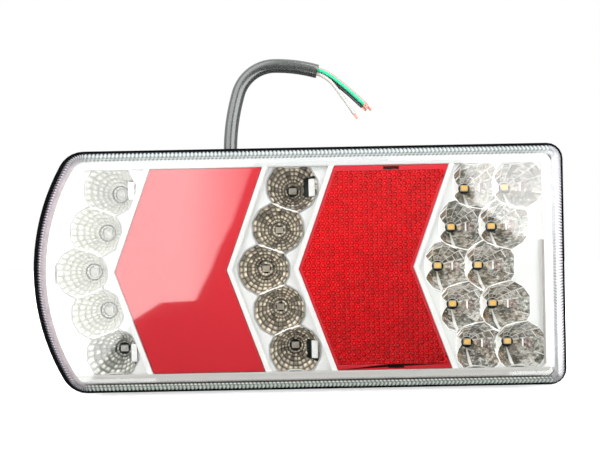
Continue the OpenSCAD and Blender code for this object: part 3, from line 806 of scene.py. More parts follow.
def cup_strip(section, strip_x, tint, material, softness):
    """One column of cups and the beads round their mouths. softness is per row: how mild the
    painted light on its pillows is.
    """
    cups = bmesh.new()
    tint_and_painted_light_layer(cups)
    beads = bmesh.new()
    places = {row: row_place(strip_x, row) for row in ROWS}
    for row, (x, y) in places.items():
        cup = pillow_cup(x, y, tint, seed=100 + row + int(strip_x), soft=softness[row])
        bmesh.ops.remove_doubles(cup, verts=cup.verts[:], dist=1e-6)
        for other in (row - 1, row + 1):
            if other in places:
                other_x, other_y = places[other]
                bisect(cup, (x + other_x) / 2, (y + other_y) / 2, (other_x - x, other_y - y))
        bisect(cup, 0, CUT_Y, (0, 1))
        bisect(cup, 0, -CUT_Y, (0, -1))
        add_beads(beads, outer_boundary(cup, x, y, r_min=3.2), half=0.26)
        if abs(row) == 2:
            cut_box(cup, *slot_box(strip_x, row))
        merge(cups, cup)
    bmesh.ops.remove_doubles(cups, verts=cups.verts[:], dist=1e-6)
    turn_forwards(cups)
    recalc(beads)
    add_piece(section + "_cup_rims", beads, ["ridge_white"], slot="bezel_white", smooth=30)
    add_piece(section + "_cups", cups, [material], slot=material,
              replaces=[section + "_reflector"], smooth=34, solid=0.7)


# painted reflection: the upper indicator cups are painted soft and pale, washed out as by a
# reflection on the lens; the lowest stays crisp
cup_strip("indicator", INDICATOR_X, (1.10, 1.10, 1.07), "silvered_plastic",
          softness={-2: 0.35, -1: 0.88, 0: 0.88, 1: 0.88, 2: 0.88})
cup_strip("stop", STOP_X, (1.0, 0.97, 0.93), "warm_silvered_plastic",
          softness=dict.fromkeys(ROWS, 0.0))

# ---------------------------------------------------------------- plates between the cups
POCKET_EDGE = outline(8.6, 13.0, 7, 3)
POCKET_Z = RIM_Z - 1.4
LAP = 1.0                         # how far the plates reach under the bezel's bars


def cup_pocket(name, strip_x, loops, keep):
    holes = [arc(*row_place(strip_x, row), CUP_R, 15, 375, 12) for row in ROWS]
    holes += [rectangle(*slot_box(strip_x, row)) for row in (-2, 2)]
    plate(name, loops + holes, lambda x, y: keep(x, y) and not inside_any(holes, x, y),
          POCKET_Z, RIM_Z, ["pocket_white"], slot="bezel_white", smooth=30, bevel=0.18)


STOP_POCKET = chevron(STOP_X0 - LAP, STOP_X1 + LAP, WINDOW_Y + 0.8)
cup_pocket("indicator_pocket", INDICATOR_X, [POCKET_EDGE, beyond(INDICATOR_EDGE + LAP, -200)],
           lambda x, y: (inside(POCKET_EDGE, x, y)
                         and x < INDICATOR_EDGE + LAP + abs(y) * SLOPE))
cup_pocket("stop_pocket", STOP_X, [STOP_POCKET], lambda x, y: inside(STOP_POCKET, x, y))

# ---------------------------------------------------------------- reversing bowls
# painted reflections: the bowls' facets are tinted with these colours for what each one mirrors
GREY = [(0.80, 0.79, 0.74), (0.56, 0.56, 0.52), (1.0, 1.0, 0.98), (0.36, 0.37, 0.34),
        (0.66, 0.60, 0.52), (0.46, 0.42, 0.36)]
BROWN = [(0.52, 0.33, 0.18), (0.40, 0.26, 0.18), (0.60, 0.40, 0.24)]
PINK = [(0.58, 0.47, 0.45), (0.50, 0.40, 0.39)]
OLIVE = [(0.30, 0.30, 0.25), (0.44, 0.41, 0.33), (0.22, 0.23, 0.20)]
OUTER_BROWN = [(0.62, 0.50, 0.42), (0.45, 0.42, 0.36), (0.38, 0.40, 0.35)]
WHITE = (1, 1, 1)
FACET, RIDGE, GLINT = 0, 1, 2     # material indices of the bowls
SECTORS = [  # from, to (degrees), radii between facets, kind
    (-20, 20, (2.75, 4.2, 5.7, 6.15, 8.3, 13.2), "right"),
    (20, 46, (2.75, 4.8, 7.0, 9.4, 13.2), "square"),
    (46, 70, (2.75, 5.4, 8.2, 13.2), "square"),
    (70, 92, (2.75, 4.4, 9.2, 13.2), "mixed"),
    (92, 118, (2.75, 5.0, 8.6, 13.2), "mixed"),
    (118, 149, (2.75, 6.2, 9.6, 13.2), "brown"),
    (149, 180, (2.75, 5.2, 8.2, 12.4), "fan"),
    (180, 211, (2.75, 5.2, 8.2, 12.4), "fan"),
    (211, 238, (2.75, 6.0, 9.8, 13.2), "brown"),
    (238, 256, (2.75, 5.2, 7.6, 13.2), "mixed"),
    (256, 266, (2.75, 8.5, 13.2), "streak"),
    (266, 288, (2.75, 5.6, 9.0, 13.2), "mixed"),
    (288, 314, (2.75, 5.8, 8.6, 13.2), "square"),
    (314, 340, (2.75, 4.8, 7.4, 10.0, 13.2), "square"),
]
BOWL_MOUTH_R = 11.4
BOWL_THROAT_SQ = 7.56             # square of the radius at which a bowl reaches its floor
BOWLS_RIGHT_X = 103.3
BOWLS = {(column, row): row_place(x, row) for column, x in enumerate(REVERSE_X) for row in ROWS}


def mouth_r(angle, column):
    """The first column's mouths are drawn in on the side facing the neighbouring section."""
    pull = max(0.0, 1 - abs((angle % 360) - 180) / 60) if column == 0 else 0.0
    return BOWL_MOUTH_R - 1.6 * pull


def bowl_z(radius, angle, column):
    mouth = mouth_r(angle, column)
    rise = (radius * radius - BOWL_THROAT_SQ) / (mouth * mouth - BOWL_THROAT_SQ)
    return min(CUP_Z + rise * (RIM_Z - CUP_Z), RIM_Z + 12)


def facet_look(kind, step, rng):
    """Painted reflection colour and material index of the facet this many steps out from the
    throat.
    """
    if kind == "fan":
        return WHITE, GLINT
    if kind == "right":
        tints = [(0.98, 0.88, 0.70), (0.60, 0.52, 0.46), WHITE, rng.choice(PINK),
                 (0.62, 0.64, 0.60)]
        return tints[step], GLINT if step == 2 else FACET
    # a white streak: painted highlight
    if kind == "streak":
        return WHITE, RIDGE
    if kind == "square":
        return rng.choice(GREY), FACET
    if kind == "mixed":
        return rng.choice(GREY[:4] + OLIVE[:2]), FACET
    return rng.choice((OLIVE, BROWN, OUTER_BROWN)[step]), FACET


def facet_bowl(mid, column, seed):
    """Separate facets, each inset so that a ridge painted bright, a painted highlight, is left
    between neighbours.
    """
    shell = bmesh.new()
    layer = tint_and_painted_light_layer(shell)
    rng = random.Random(seed)
    for start, end, radii, kind in SECTORS:
        for step, (inner, outer) in enumerate(zip(radii, radii[1:])):
            verts = []
            for radius, angle in ((inner, start), (outer, start), (outer, end), (inner, end)):
                # facets lean a little out of the bowl's curve, so each mirrors something else
                leans = kind not in ("fan", "right") and radius > 3
                lean = rng.uniform(-0.10, 0.10) if leans else 0.0
                z = bowl_z(radius, angle, column) + lean
                verts.append(shell.verts.new(at(*polar(mid, radius, angle), z)))
            tint, material = facet_look(kind, step, rng)
            face = shell.faces.new(verts)
            face.material_index = material
            for loop in face.loops:
                loop[layer] = (*tint, 1.0)
    ridges = bmesh.ops.inset_individual(shell, faces=shell.faces[:], thickness=0.08 * MM,
                                        depth=-0.00006, use_even_offset=True)
    for face in ridges["faces"]:
        face.material_index = RIDGE
        for loop in face.loops:
            loop[layer] = (1.0, 1.0, 1.0, 1.0)
    return shell


def on_outline(start, end, cuts):
    """True for an edge on the rim plane or on one of the planes the bowl is cut by."""
    if max(start.y, end.y) < -(RIM_Z - 0.06) * MM:
        return True
    for x, y, normal in cuts:
        size = math.hypot(*normal)
        if all(abs(((point.x / MM - x) * normal[0] + (point.z / MM - y) * normal[1]) / size)
               < 0.03 for point in (start, end)):
            return True
    return False


bowls = bmesh.new()
tint_and_painted_light_layer(bowls)
beads = bmesh.new()
for (column, row), (x, y) in BOWLS.items():
    bowl = facet_bowl((x, y), column, seed=11 + column * 31 + row * 7)
    cuts = [(0, CUT_Y, (0, 1)), (0, -CUT_Y, (0, -1)), (BOWLS_RIGHT_X, 0, (1, 0))]
    for other, (other_x, other_y) in BOWLS.items():
        if other != (column, row) and math.hypot(other_x - x, other_y - y) < 26:
            cuts.append(((x + other_x) / 2, (y + other_y) / 2, (other_x - x, other_y - y)))
    for cut in cuts:
        bisect(bowl, *cut)
    # nothing in front of the rim plane
    bmesh.ops.bisect_plane(bowl, geom=bowl.verts[:] + bowl.edges[:] + bowl.faces[:],
                           plane_co=(0, -RIM_Z * MM, 0), plane_no=(0, -1, 0),
                           clear_outer=True, dist=1e-7)
    rim = [edge for edge in outer_boundary(bowl, x, y, r_min=6.5) if on_outline(*edge, cuts)]
    add_beads(beads, rim, half=0.2)
    merge(bowls, bowl)
recalc(bowls)
for face in bowls.faces:
    if face.normal.y > 0:
        face.normal_flip()
add_piece("reversing_bowls", bowls, ["faceted_silver", "ridge_white", "window_glint"],
          slot="silvered_plastic", replaces=["reverse_reflector"], smooth=None, solid=0.6)
recalc(beads)
add_piece("reversing_rims", beads, ["ridge_white"], slot="bezel_white", smooth=30)

# the shaded wall of the bezel's opening right of the last bowls: a four-sided bar, drawn in
# a little at its ends
WALL_XZ = ((103.1, 29.9), (102.5, 31.7), (103.3, 31.9), (103.45, 29.9))
WALL_ENDS = ((-WINDOW_Y + 2.6, 0), (-WINDOW_Y + 1.4, 0.5), (WINDOW_Y - 1.4, 0.5),
             (WINDOW_Y - 2.6, 0))    # y, drawn in by
wall = [(x - drawn, y, z) for x, z in WALL_XZ for y, drawn in WALL_ENDS]
wall_faces = []
for i in range(4):
    here, there = 4 * i, 4 * ((i + 1) % 4)
    wall_faces += [(here + j, here + j + 1, there + j + 1, there + j) for j in range(3)]
wall_faces += [(0, 4, 8, 12), (15, 11, 7, 3)]
add_piece("opening_wall", closed_mesh("opening_wall", wall, wall_faces), ["shaded_white"],
          slot="bezel_white", smooth=30, bevel=0.12)

# plate between the bowls
mouth_angles = sorted({angle % 360 for sector in SECTORS for angle in sector[:2]})
mouths = [[polar(mid, mouth_r(angle, column), angle) for angle in mouth_angles]
          for (column, _), mid in BOWLS.items()]
plate("reversing_pocket", [POCKET_EDGE, beyond(REVERSE_EDGE - LAP, 200)] + mouths,
      lambda x, y: (inside(POCKET_EDGE, x, y) and x > REVERSE_EDGE - LAP + abs(y) * SLOPE
                    and not inside_any(mouths, x, y)),
      POCKET_Z, RIM_Z, ["pocket_white"], slot="bezel_white", smooth=30, bevel=0.15)

# ---------------------------------------------------------------- red panels
CELL_PITCH_X, CELL_PITCH_Y = 2.04, 2.35
CELL_R = CELL_PITCH_Y / math.sqrt(3)
MARGIN_X, MARGIN_Y = 1.3, 2.3     # plain border round the cells
CELLS_Y = WINDOW_Y - MARGIN_Y
GAP = 0.15                        # between a panel and its opening
# painted light: the tints below make a bright ring, dark rings and a bright point in each cell
CELL_LEVELS = [  # radius, z, tint of the faces reaching in to this level
    (CELL_R, 31.30, None), (CELL_R * 0.86, 31.38, (1.12, 1.4, 1.4)),
    (CELL_R * 0.62, 30.95, (0.44, 0.2, 0.2)), (CELL_R * 0.42, 30.85, (0.54, 0.3, 0.3)),
    (0.0, 31.1, (1.1, 2.0, 2.0)),
]


def prism_cell(shell, layer, mid, level):
    """One hexagonal cell, ringed down to a raised point."""
    outer = None
    for radius, z, tint in CELL_LEVELS:
        if radius:
            ring = [shell.verts.new(at(*polar(mid, radius, 60 * k), z)) for k in range(6)]
        else:
            ring = [shell.verts.new(at(*mid, z))] * 6
        if outer:
            for i in range(6):
                j = (i + 1) % 6
                corners = (outer[i], outer[j], ring[j])
                face = shell.faces.new((*corners, ring[i]) if radius else corners)
                # painted light: faces on each cell's upper left are lighter
                tone = level * (1 + 0.10 * math.cos(math.radians(60 * i + 30 - 130)))
                for loop in face.loops:
                    loop[layer] = (*[channel * tone for channel in tint], 1.0)
        outer = ring


def half_cells(side):
    """Cells over the upper (side 1) or lower (-1) half of the panel, cut to its margins."""
    shell = bmesh.new()
    layer = tint_and_painted_light_layer(shell)
    rng = random.Random(5 + side)
    x0, x1 = REFLEX_X0 + MARGIN_X, REFLEX_X1 - MARGIN_X
    first = int((REFLEX_X0 - 4) / CELL_PITCH_X) - 1
    last = int((REFLEX_X1 + CELLS_Y * SLOPE + 4) / CELL_PITCH_X) + 1
    for i in range(first, last + 1):
        for j in range(-1, int(CELLS_Y / CELL_PITCH_Y) + 2):
            x = i * CELL_PITCH_X
            y = (j + 0.5 * (i % 2)) * CELL_PITCH_Y * side
            lean = abs(y) * SLOPE
            if x0 + lean - CELL_R < x < x1 + lean + CELL_R and abs(y) < CELLS_Y + CELL_R:
                prism_cell(shell, layer, (x, y), level=rng.uniform(0.85, 1.12))
    bisect(shell, x0, 0, (-1, SLOPE * side))
    bisect(shell, x1, 0, (1, -SLOPE * side))
    bisect(shell, 0, CELLS_Y * side, (0, side))
    bisect(shell, 0, 0, (0, -side))
    return shell


cells = bmesh.new()
tint_and_painted_light_layer(cells)
for side in (1, -1):
    merge(cells, half_cells(side))
bmesh.ops.remove_doubles(cells, verts=cells.verts[:], dist=2e-6)
turn_forwards(cells)
add_piece("prism_cells", cells, ["red_prism_cells"], slot="red_acrylic",
          replaces=["reflex_reflector"], smooth=None, solid=1.2)

REFLEX_EDGE = chevron(REFLEX_X0 + GAP, REFLEX_X1 - GAP, WINDOW_Y - GAP)
CELLS_EDGE = chevron(REFLEX_X0 + MARGIN_X, REFLEX_X1 - MARGIN_X, CELLS_Y)
CLIPS = [(36.0, 36.0 + 6.8, 41.0, 41.0 + 1.4),      # x0, x1, y0, y1
         (36.6, 36.6 + 6.8, -42.4, -42.4 + 1.6)]
NOTCHES = [rectangle(*clip) for clip in CLIPS]
plate("reflex_margin", [REFLEX_EDGE, CELLS_EDGE] + NOTCHES,
      lambda x, y: inside(REFLEX_EDGE, x, y) and not inside_any([CELLS_EDGE] + NOTCHES, x, y),
      PANEL_Z0, PANEL_Z1, ["red_acrylic"], slot="red_acrylic", bevel=0.12, smooth=30)
for number, (x0, x1, y0, y1) in enumerate(CLIPS, 1):
    plate("reflex_clip_%d" % number, [rectangle(x0 + 0.05, x1 - 0.05, y0 + 0.05, y1 - 0.05)],
          lambda x, y: True, PANEL_Z0, 29.6, ["black_aperture"], slot="black_abs", bevel=0.2)

TAIL_EDGE = chevron(TAIL_X0 + GAP, TAIL_X1 - GAP, WINDOW_Y - GAP)
plate("tail_diffuser", [TAIL_EDGE], lambda x, y: inside(TAIL_EDGE, x, y), PANEL_Z0, PANEL_Z1,
      ["red_acrylic"], slot="red_acrylic", replaces=["tail_panel"], bevel=0.5, smooth=30)

# ---------------------------------------------------------------- lens
RIB_STEPS = 6                     # points on each rib
# ribs on each stretch of the outline, from the top right corner anticlockwise
LENS_COUNTS = [ribs * RIB_STEPS for ribs in (8, 118, 9, 80, 9, 118, 8, 72)]
LENS_SEG = sum(LENS_COUNTS)
LENS_OUTER = [  # z, inset at top and bottom, inset at the ends
    (20, 1, 1.6), (21, 1.2, 2.0), (22.4, 1.48, 2.62), (24, 1.8, 3.3), (26, 2.2, 4.2),
    (28, 2.6, 5.2), (29.6, 3.05, 6.12), (31, 3.5, 7.0), (32.1, 4.05, 7.85), (33, 4.6, 8.6),
    (33.25, 4.8, 8.85), (33.5, 5.0, 9.1), (33.9, 5.3, 9.5), (34.3, 5.62, 9.9),
    (34.6, 5.9, 10.2), (34.75, 6.12, 10.42), (34.9, 6.35, 10.65), (35.1, 6.65, 10.95),
    (35.3, 6.95, 11.25), (35.5, 7.28, 11.55), (35.7, 7.65, 11.9), (36, 8.2, 12.4),
]
LENS_INNER = [  # the same, inside the lens from front to back
    (33.8, 8.8, 12.8), (33, 6.8, 10.7), (31, 5.4, 8.9), (28, 4.6, 7.2), (24, 3.8, 5.4),
    (20, 3.2, 3.8),
]
TOP, LEFT, BOTTOM, RIGHT = 1, 3, 5, 7
# for each stretch: z, 8-bit colour on a rib's crest, colour in its valley, cover; the colours are
# painted light, highlights on the crests and shade and the dark tray behind in the valleys
RIB_PAINTED_LIGHT = [
    [  # top right corner
        (20, (90, 94, 100), (34, 34, 38), 0.95), (24, (190, 192, 198), (110, 112, 120), 0.95),
        (31, (214, 216, 221), (150, 153, 160), 0.95),
        (34.3, (222, 224, 228), (176, 179, 185), 0.95),
        (35.1, (240, 241, 243), (226, 228, 231), 0.8),
        (35.7, (250, 250, 250), (248, 248, 248), 0.2),
        (36, (250, 250, 250), (250, 250, 250), 0),
    ], [  # top
        (20, (110, 120, 122), (45, 52, 56), 0.95), (24, (140, 152, 152), (75, 86, 90), 0.95),
        (31, (196, 208, 206), (118, 130, 130), 0.95),
        (33, (246, 250, 250), (132, 145, 144), 0.95),
        (34.3, (186, 197, 194), (136, 146, 143), 0.95),
        (34.75, (222, 228, 226), (212, 218, 216), 0.95),
        (35.05, (230, 234, 232), (66, 76, 80), 0.95),
        (35.4, (230, 234, 232), (214, 220, 218), 0.9),
        (35.7, (230, 234, 232), (226, 230, 228), 0.6),
        (36, (236, 238, 236), (234, 236, 234), 0.15),
    ], [  # top left corner
        (20, (8, 8, 10), (6, 6, 8), 0.95), (28, (30, 28, 32), (10, 10, 12), 0.95),
        (31, (176, 173, 178), (84, 79, 86), 0.95),
        (34.3, (190, 187, 190), (104, 99, 105), 0.95),
        (35.1, (204, 200, 202), (150, 145, 148), 0.95),
        (35.7, (206, 202, 204), (196, 192, 194), 0.95),
        (36, (228, 226, 227), (228, 226, 227), 0.5),
    ], [  # left
        (20, (8, 8, 10), (5, 5, 6), 0.95), (30, (10, 10, 12), (6, 6, 8), 0.95),
        (30.9, (96, 86, 100), (14, 13, 16), 0.95),
        (31.6, (190, 180, 195), (150, 138, 152), 0.95),
        (33, (197, 186, 199), (184, 172, 186), 0.95),
        (33.3, (178, 167, 175), (120, 108, 118), 0.95),
        (33.6, (206, 193, 196), (198, 186, 190), 0.95),
        (35.7, (210, 198, 200), (206, 194, 196), 0.95),
        (36, (226, 216, 218), (224, 214, 216), 0.7),
    ], [  # bottom left corner
        (20, (8, 8, 10), (6, 6, 8), 0.95), (28, (40, 38, 42), (12, 12, 14), 0.95),
        (31, (160, 157, 162), (74, 70, 76), 0.95),
        (34.3, (180, 177, 180), (88, 84, 90), 0.95),
        (35.1, (190, 185, 188), (130, 126, 128), 0.95),
        (35.7, (212, 206, 208), (200, 194, 196), 0.9),
        (36, (228, 222, 224), (228, 222, 224), 0.4),
    ], [  # bottom
        (20, (50, 54, 50), (22, 24, 22), 0.95), (24, (112, 120, 112), (66, 72, 66), 0.95),
        (28, (172, 185, 177), (96, 104, 96), 0.95),
        (33, (200, 212, 204), (108, 118, 110), 0.95),
        (34.3, (146, 156, 146), (98, 106, 98), 0.95),
        (34.7, (248, 250, 246), (122, 130, 122), 0.95),
        (34.95, (232, 236, 230), (82, 84, 78), 0.95),
        (35.15, (56, 56, 50), (40, 40, 36), 0.95), (35.45, (78, 76, 70), (66, 64, 58), 0.85),
        (35.75, (140, 138, 132), (140, 138, 132), 0.3),
        (36, (150, 148, 144), (150, 148, 144), 0),
    ], [  # bottom right corner
        (20, (60, 58, 62), (20, 20, 22), 0.95), (24, (178, 178, 180), (84, 84, 88), 0.95),
        (31, (198, 198, 199), (104, 104, 108), 0.95),
        (34.3, (176, 176, 177), (112, 112, 114), 0.95),
        (35.1, (166, 165, 165), (128, 127, 128), 0.95),
        (35.7, (178, 177, 177), (160, 159, 159), 0.7),
        (36, (200, 200, 200), (200, 200, 200), 0),
    ], [  # right
        (20, (236, 230, 240), (40, 36, 44), 0.95),
        (22.4, (246, 242, 250), (150, 138, 156), 0.95),
        (26, (251, 249, 253), (226, 214, 234), 0.95),
        (31, (252, 252, 253), (240, 234, 244), 0.95),
        (33, (243, 248, 243), (237, 242, 237), 0.95),
        (33.9, (242, 245, 242), (236, 239, 236), 0.95),
        (34.3, (214, 214, 217), (158, 159, 163), 0.95),
        (35.4, (211, 211, 215), (152, 152, 157), 0.95),
        (35.75, (244, 244, 245), (236, 236, 237), 0.6),
        (36, (250, 250, 250), (250, 250, 250), 0),
    ],
]
# for each stretch: z, factor on the painted light above, brightening or shading the ribs by
# height
RIB_PAINTED_GAIN = [
    [(20, 1.0), (32, 0.9), (34.3, 0.62), (36, 0.7)],
    [(20, 0.74), (32, 0.74), (33, 0.62), (34.3, 0.42), (35.1, 0.46), (35.7, 0.58), (36, 0.62)],
    [(20, 1.0), (32, 0.78), (34.3, 0.50), (36, 0.56)],
    [(20, 1.0), (31.6, 1.0), (33, 0.76), (33.6, 0.58), (36, 0.56)],
    [(20, 1.0), (32, 0.8), (34.3, 0.60), (36, 0.62)],
    [(20, 1.25), (29, 1.25), (31.5, 1.05), (33, 0.80), (34.9, 0.72), (35.15, 0.55),
     (35.45, 0.6), (36, 0.8)],
    [(20, 1.0), (32, 0.9), (34.3, 0.70), (36, 0.7)],
    [(20, 1.0), (33, 1.0), (34.3, 0.62), (35.4, 0.60), (36, 0.8)],
]


def smooth_step(start, end, value):
    share = min(1.0, max(0.0, (value - start) / (end - start)))
    return share * share * (3 - 2 * share)


def between(first, second, share):
    return [low * (1 - share) + high * share for low, high in zip(first, second)]


def bracket(table, z):
    """The table's rows either side of z, and how far z lies from one to the other."""
    for low, high in zip(table, table[1:]):
        if z <= high[0] + 1e-6:
            return low, high, (z - low[0]) / (high[0] - low[0])


def painted_rib_light(stretch, z, crest):
    """Painted rib light as linear red, green, blue and cover; crest runs from 0 in a valley to 1
    on a crest.
    """
    low, high, share = bracket(RIB_PAINTED_GAIN[stretch], z)
    gain = low[1] + (high[1] - low[1]) * share
    low, high, share = bracket(RIB_PAINTED_LIGHT[stretch], z)
    on_crest, in_valley = (between(low[k], high[k], share) for k in (1, 2))
    color = [(level / 255) ** 2.2 / 1.22 * gain for level in between(in_valley, on_crest, crest)]
    return color + between(low[3:], high[3:], share)


def blended_color(stretch, position, y, z, crest):
    """Painted rib light, blended with the next stretch's near either end. position runs 0..1."""
    sharpness = 2.2 if 34.9 < z < 35.3 else 1.1
    crest = crest ** sharpness
    color = painted_rib_light(stretch, z, crest)
    fade = 2.5 if stretch % 2 == 0 else 14 if stretch in (TOP, BOTTOM) else 5
    weight = max(0.0, 0.5 - min(position, 1 - position) * fade)
    if weight > 0:
        near = (stretch - 1 if position < 0.5 else stretch + 1) % 8
        color = between(color, painted_rib_light(near, z, crest), weight)
    if stretch == RIGHT and z > 34:
        # the painted light on the upper part of the right edge is an even grey
        share = 0.75 * smooth_step(-10, 40, y)
        color[:3] = between(color[:3], (0.52,) * 3, share)
    return color


def valley(i):
    """1 at the valley between two ribs, 0 on a rib's crest."""
    return 1 - abs(math.sin(math.pi * (i % RIB_STEPS) / RIB_STEPS))


def inward_normals(points):
    """Inward directions at each point, smoothed over three points either way."""
    normals = []
    for i in range(len(points)):
        x0, y0 = points[i - 3]
        x1, y1 = points[(i + 3) % len(points)]
        length = math.hypot(x1 - x0, y1 - y0) or 1
        normals.append((-(y1 - y0) / length, (x1 - x0) / length))
    return normals


def lens_ring(inset_y, inset_x):
    return outline(inset_y, inset_x, max(12 - inset_y, 4), max(7 - inset_y, 2),
                   counts=LENS_COUNTS)


# which stretch each point lies on, and how far along it
stations = [(stretch, i / count) for stretch, count in enumerate(LENS_COUNTS)
            for i in range(count)]
verts, colors = [], []
for level, (z, inset_y, inset_x) in enumerate(LENS_OUTER):
    points = lens_ring(inset_y, inset_x)
    before = LENS_OUTER[max(level - 1, 0)]
    after = LENS_OUTER[min(level + 1, len(LENS_OUTER) - 1)]
    length = math.hypot(after[0] - before[0], after[1] - before[1])
    inward, down = (after[0] - before[0]) / length, (after[1] - before[1]) / length
    # long ribs up the side, then a row of short ones set half a rib along
    long_ribs = 0.46 * smooth_step(20.2, 21.5, z) * (1 - smooth_step(32.6, 33.0, z))
    short_ribs = 0.40 * smooth_step(4.75, 5.05, inset_y) * (1 - smooth_step(5.6, 5.95, inset_y))
    flare = 1 - smooth_step(20, 28, z)    # the foot spreads at the right and the bottom
    for i, ((x, y), (normal_x, normal_y)) in enumerate(zip(points, inward_normals(points))):
        depth = long_ribs * valley(i) + short_ribs * valley(i + RIB_STEPS // 2)
        verts.append((x + normal_x * depth * inward + 0.72 * flare * smooth_step(70, 108, x),
                      y + normal_y * depth * inward - 0.45 * flare * smooth_step(-20, -46, y),
                      z - depth * down))
        colors += blended_color(*stations[i], y, z, crest=1 - valley(i))
for z, inset_y, inset_x in LENS_INNER:
    verts += [(x, y, z) for x, y in lens_ring(inset_y, inset_x)]
    colors += [0] * (4 * LENS_SEG)

# the outer and inner walls meet at the back; the front is closed by two flat faces
front_ring, ring_count = len(LENS_OUTER) - 1, len(LENS_OUTER) + len(LENS_INNER)
faces = ring_faces(ring_count, LENS_SEG, wrap=True)
del faces[front_ring * LENS_SEG:(front_ring + 1) * LENS_SEG]
faces.append(tuple(range(front_ring * LENS_SEG, (front_ring + 1) * LENS_SEG)))
faces.append(tuple(range((front_ring + 1) * LENS_SEG, (front_ring + 2) * LENS_SEG))[::-1])
ribbed = front_ring * LENS_SEG
mesh = open_mesh("lens_shell", verts, faces)
mesh.polygons.foreach_set("material_index", [0] * ribbed + [1] * (len(faces) - ribbed))
# the rib attribute carries the ribs' painted light and shade
mesh.attributes.new("rib", "FLOAT_COLOR", "POINT").data.foreach_set("color", colors)
recalc_mesh(mesh)
lens = add_piece("lens_shell", mesh, ["ribbed_clear", "clear_acrylic"], slot="clear_acrylic",
                 replaces=["outer_lens"], smooth=28)
for polygon in lens.data.polygons:
    if len(polygon.vertices) > 4:
        polygon.use_smooth = False


# ---------------------------------------------------------------- tubes
def path_frames(path):
    """Point, tangent, side and up at each point of a path."""
    points = [Vector(point) for point in path]
    last = len(points) - 1
    frames = []
    for i, point in enumerate(points):
        tangent = (points[min(i + 1, last)] - points[max(i - 1, 0)]).normalized()
        side = tangent.cross(Vector((0, 0, 1))).normalized()
        frames.append((point, tangent, side, side.cross(tangent).normalized()))
    return frames


def tube_ring(place, radius, seg, jag=0.0, ripple=0.0, phase=0.0):
    """One ring of a tube. jag pulls it back unevenly; ripple makes its radius wave."""
    point, tangent, side, rise = place
    ring = []
    for k in range(seg):
        turn = 2 * math.pi * k / seg
        pull = jag * (0.6 * math.sin(3 * turn + 1) + 0.4 * math.sin(7 * turn))
        reach = radius * (1 + ripple * math.sin(3 * turn + phase))
        ring.append(point + tangent * (-abs(pull)) + side * (reach * math.cos(turn))
                    + rise * (reach * math.sin(turn)))
    return ring


def tube(name, path, radii, seg, ripple=0.0):
    verts = []
    for i, (place, radius) in enumerate(zip(path_frames(path), radii)):
        verts += tube_ring(place, radius, seg, ripple=ripple, phase=i * 0.7)
    return closed_mesh(name, verts, ring_faces(len(path), seg))


def hollow_tube(name, path, radius, bore, depth, seg):
    """A closed tube whose far end is hollow to a depth, cut slightly unevenly."""
    places = path_frames(path)
    end = places[-1]
    floor_at = next(i for i in range(len(places) - 1, 0, -1)
                    if (end[0] - places[i][0]).length > depth)
    rings = [tube_ring(place, radius, seg) for place in places[:-1]]
    rings.append(tube_ring(end, radius - 0.1, seg, jag=0.28))
    rings.append(tube_ring(end, bore + 0.12, seg, jag=0.28))
    rings += [tube_ring(place, bore, seg) for place in places[floor_at:-1][::-1]]
    return closed_mesh(name, sum(rings, []), ring_faces(len(rings), seg))


def path_arc(centre, radius, start, end, steps, z, skip=0):
    return [(*polar(centre, radius, start + (end - start) * i / steps), z)
            for i in range(skip, steps + 1)]


# ---------------------------------------------------------------- lead
# The sheath rises out of the lamp and bends right three times: gently, sharply, gently.
BEND_R = (95.0, 17.6, 68.0)
FIRST_TURN = 17.0
END_ANGLE = 73.0                  # where the third bend stops, as an angle about its centre
SHEATH_R, SHEATH_BORE, SHEATH_SEG = 3.1, 2.45, 32
centre_1 = (LEAD_X + BEND_R[0], LEAD_Y)
bend_1_end = polar(centre_1, BEND_R[0], 180 - FIRST_TURN)
centre_2 = polar(bend_1_end, BEND_R[1], -FIRST_TURN)
centre_3 = (centre_2[0], centre_2[1] + BEND_R[1] - BEND_R[2])
sheath_end = polar(centre_3, BEND_R[2], END_ANGLE)

path = [(LEAD_X, y, LEAD_Z) for y in np.linspace(28.2, 52.5, 26)]
path += path_arc(centre_1, BEND_R[0], 180, 180 - FIRST_TURN / 2, 16, LEAD_Z)
sheath = add_piece("sheath_first",
                   tube("sheath_first", path, [SHEATH_R] * len(path), SHEATH_SEG),
                   ["grey_pvc"], body=None, slot="grey_pvc",
                   replaces=["sheath_inlet", "sheath_lower"])
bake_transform(sheath)

path = path_arc(centre_1, BEND_R[0], 180 - FIRST_TURN / 2, 180 - FIRST_TURN, 16, LEAD_Z)
path += path_arc(centre_2, BEND_R[1], 180 - FIRST_TURN, 90, 30, LEAD_Z, skip=1)
path += path_arc(centre_3, BEND_R[2], 90, END_ANGLE, 22, LEAD_Z, skip=1)
sheath = add_piece("sheath_second",
                   hollow_tube("sheath_second", path, SHEATH_R, SHEATH_BORE, depth=5.5,
                               seg=SHEATH_SEG),
                   ["grey_pvc"], body=None, slot="grey_pvc", replaces=["sheath_upper"])
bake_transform(sheath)

CORES = [  # colour, first bend's radius and turn, second's, offsets across the lead and in z
    ("red", 20, 21, 150, 7.9, 1.17, -0.43), ("green", 20, 21, 150, 7.3, 0.43, 1.17),
    ("black", 20, 21, 150, 7.3, -0.43, -1.17), ("white", 16, 36, 200, 4.8, -1.17, 0.43),
]


def core_path(radius_1, turn_1, radius_2, turn_2, across, offset_z):
    z = LEAD_Z + offset_z
    points = []
    for back in (5.0, 3.4, 1.7):      # inside the sheath's open end
        angle = END_ANGLE + math.degrees(back / BEND_R[2])
        points.append((*polar(centre_3, BEND_R[2] + across, angle), z))
    middle = END_ANGLE - turn_1
    first = polar(sheath_end, -radius_1, END_ANGLE)
    second = polar(polar(first, radius_1, middle), -radius_2, middle)
    points += path_arc(first, radius_1 + across, END_ANGLE, middle, 12, z)
    points += path_arc(second, radius_2 + across, middle, middle - turn_2, 18, z, skip=1)
    return points


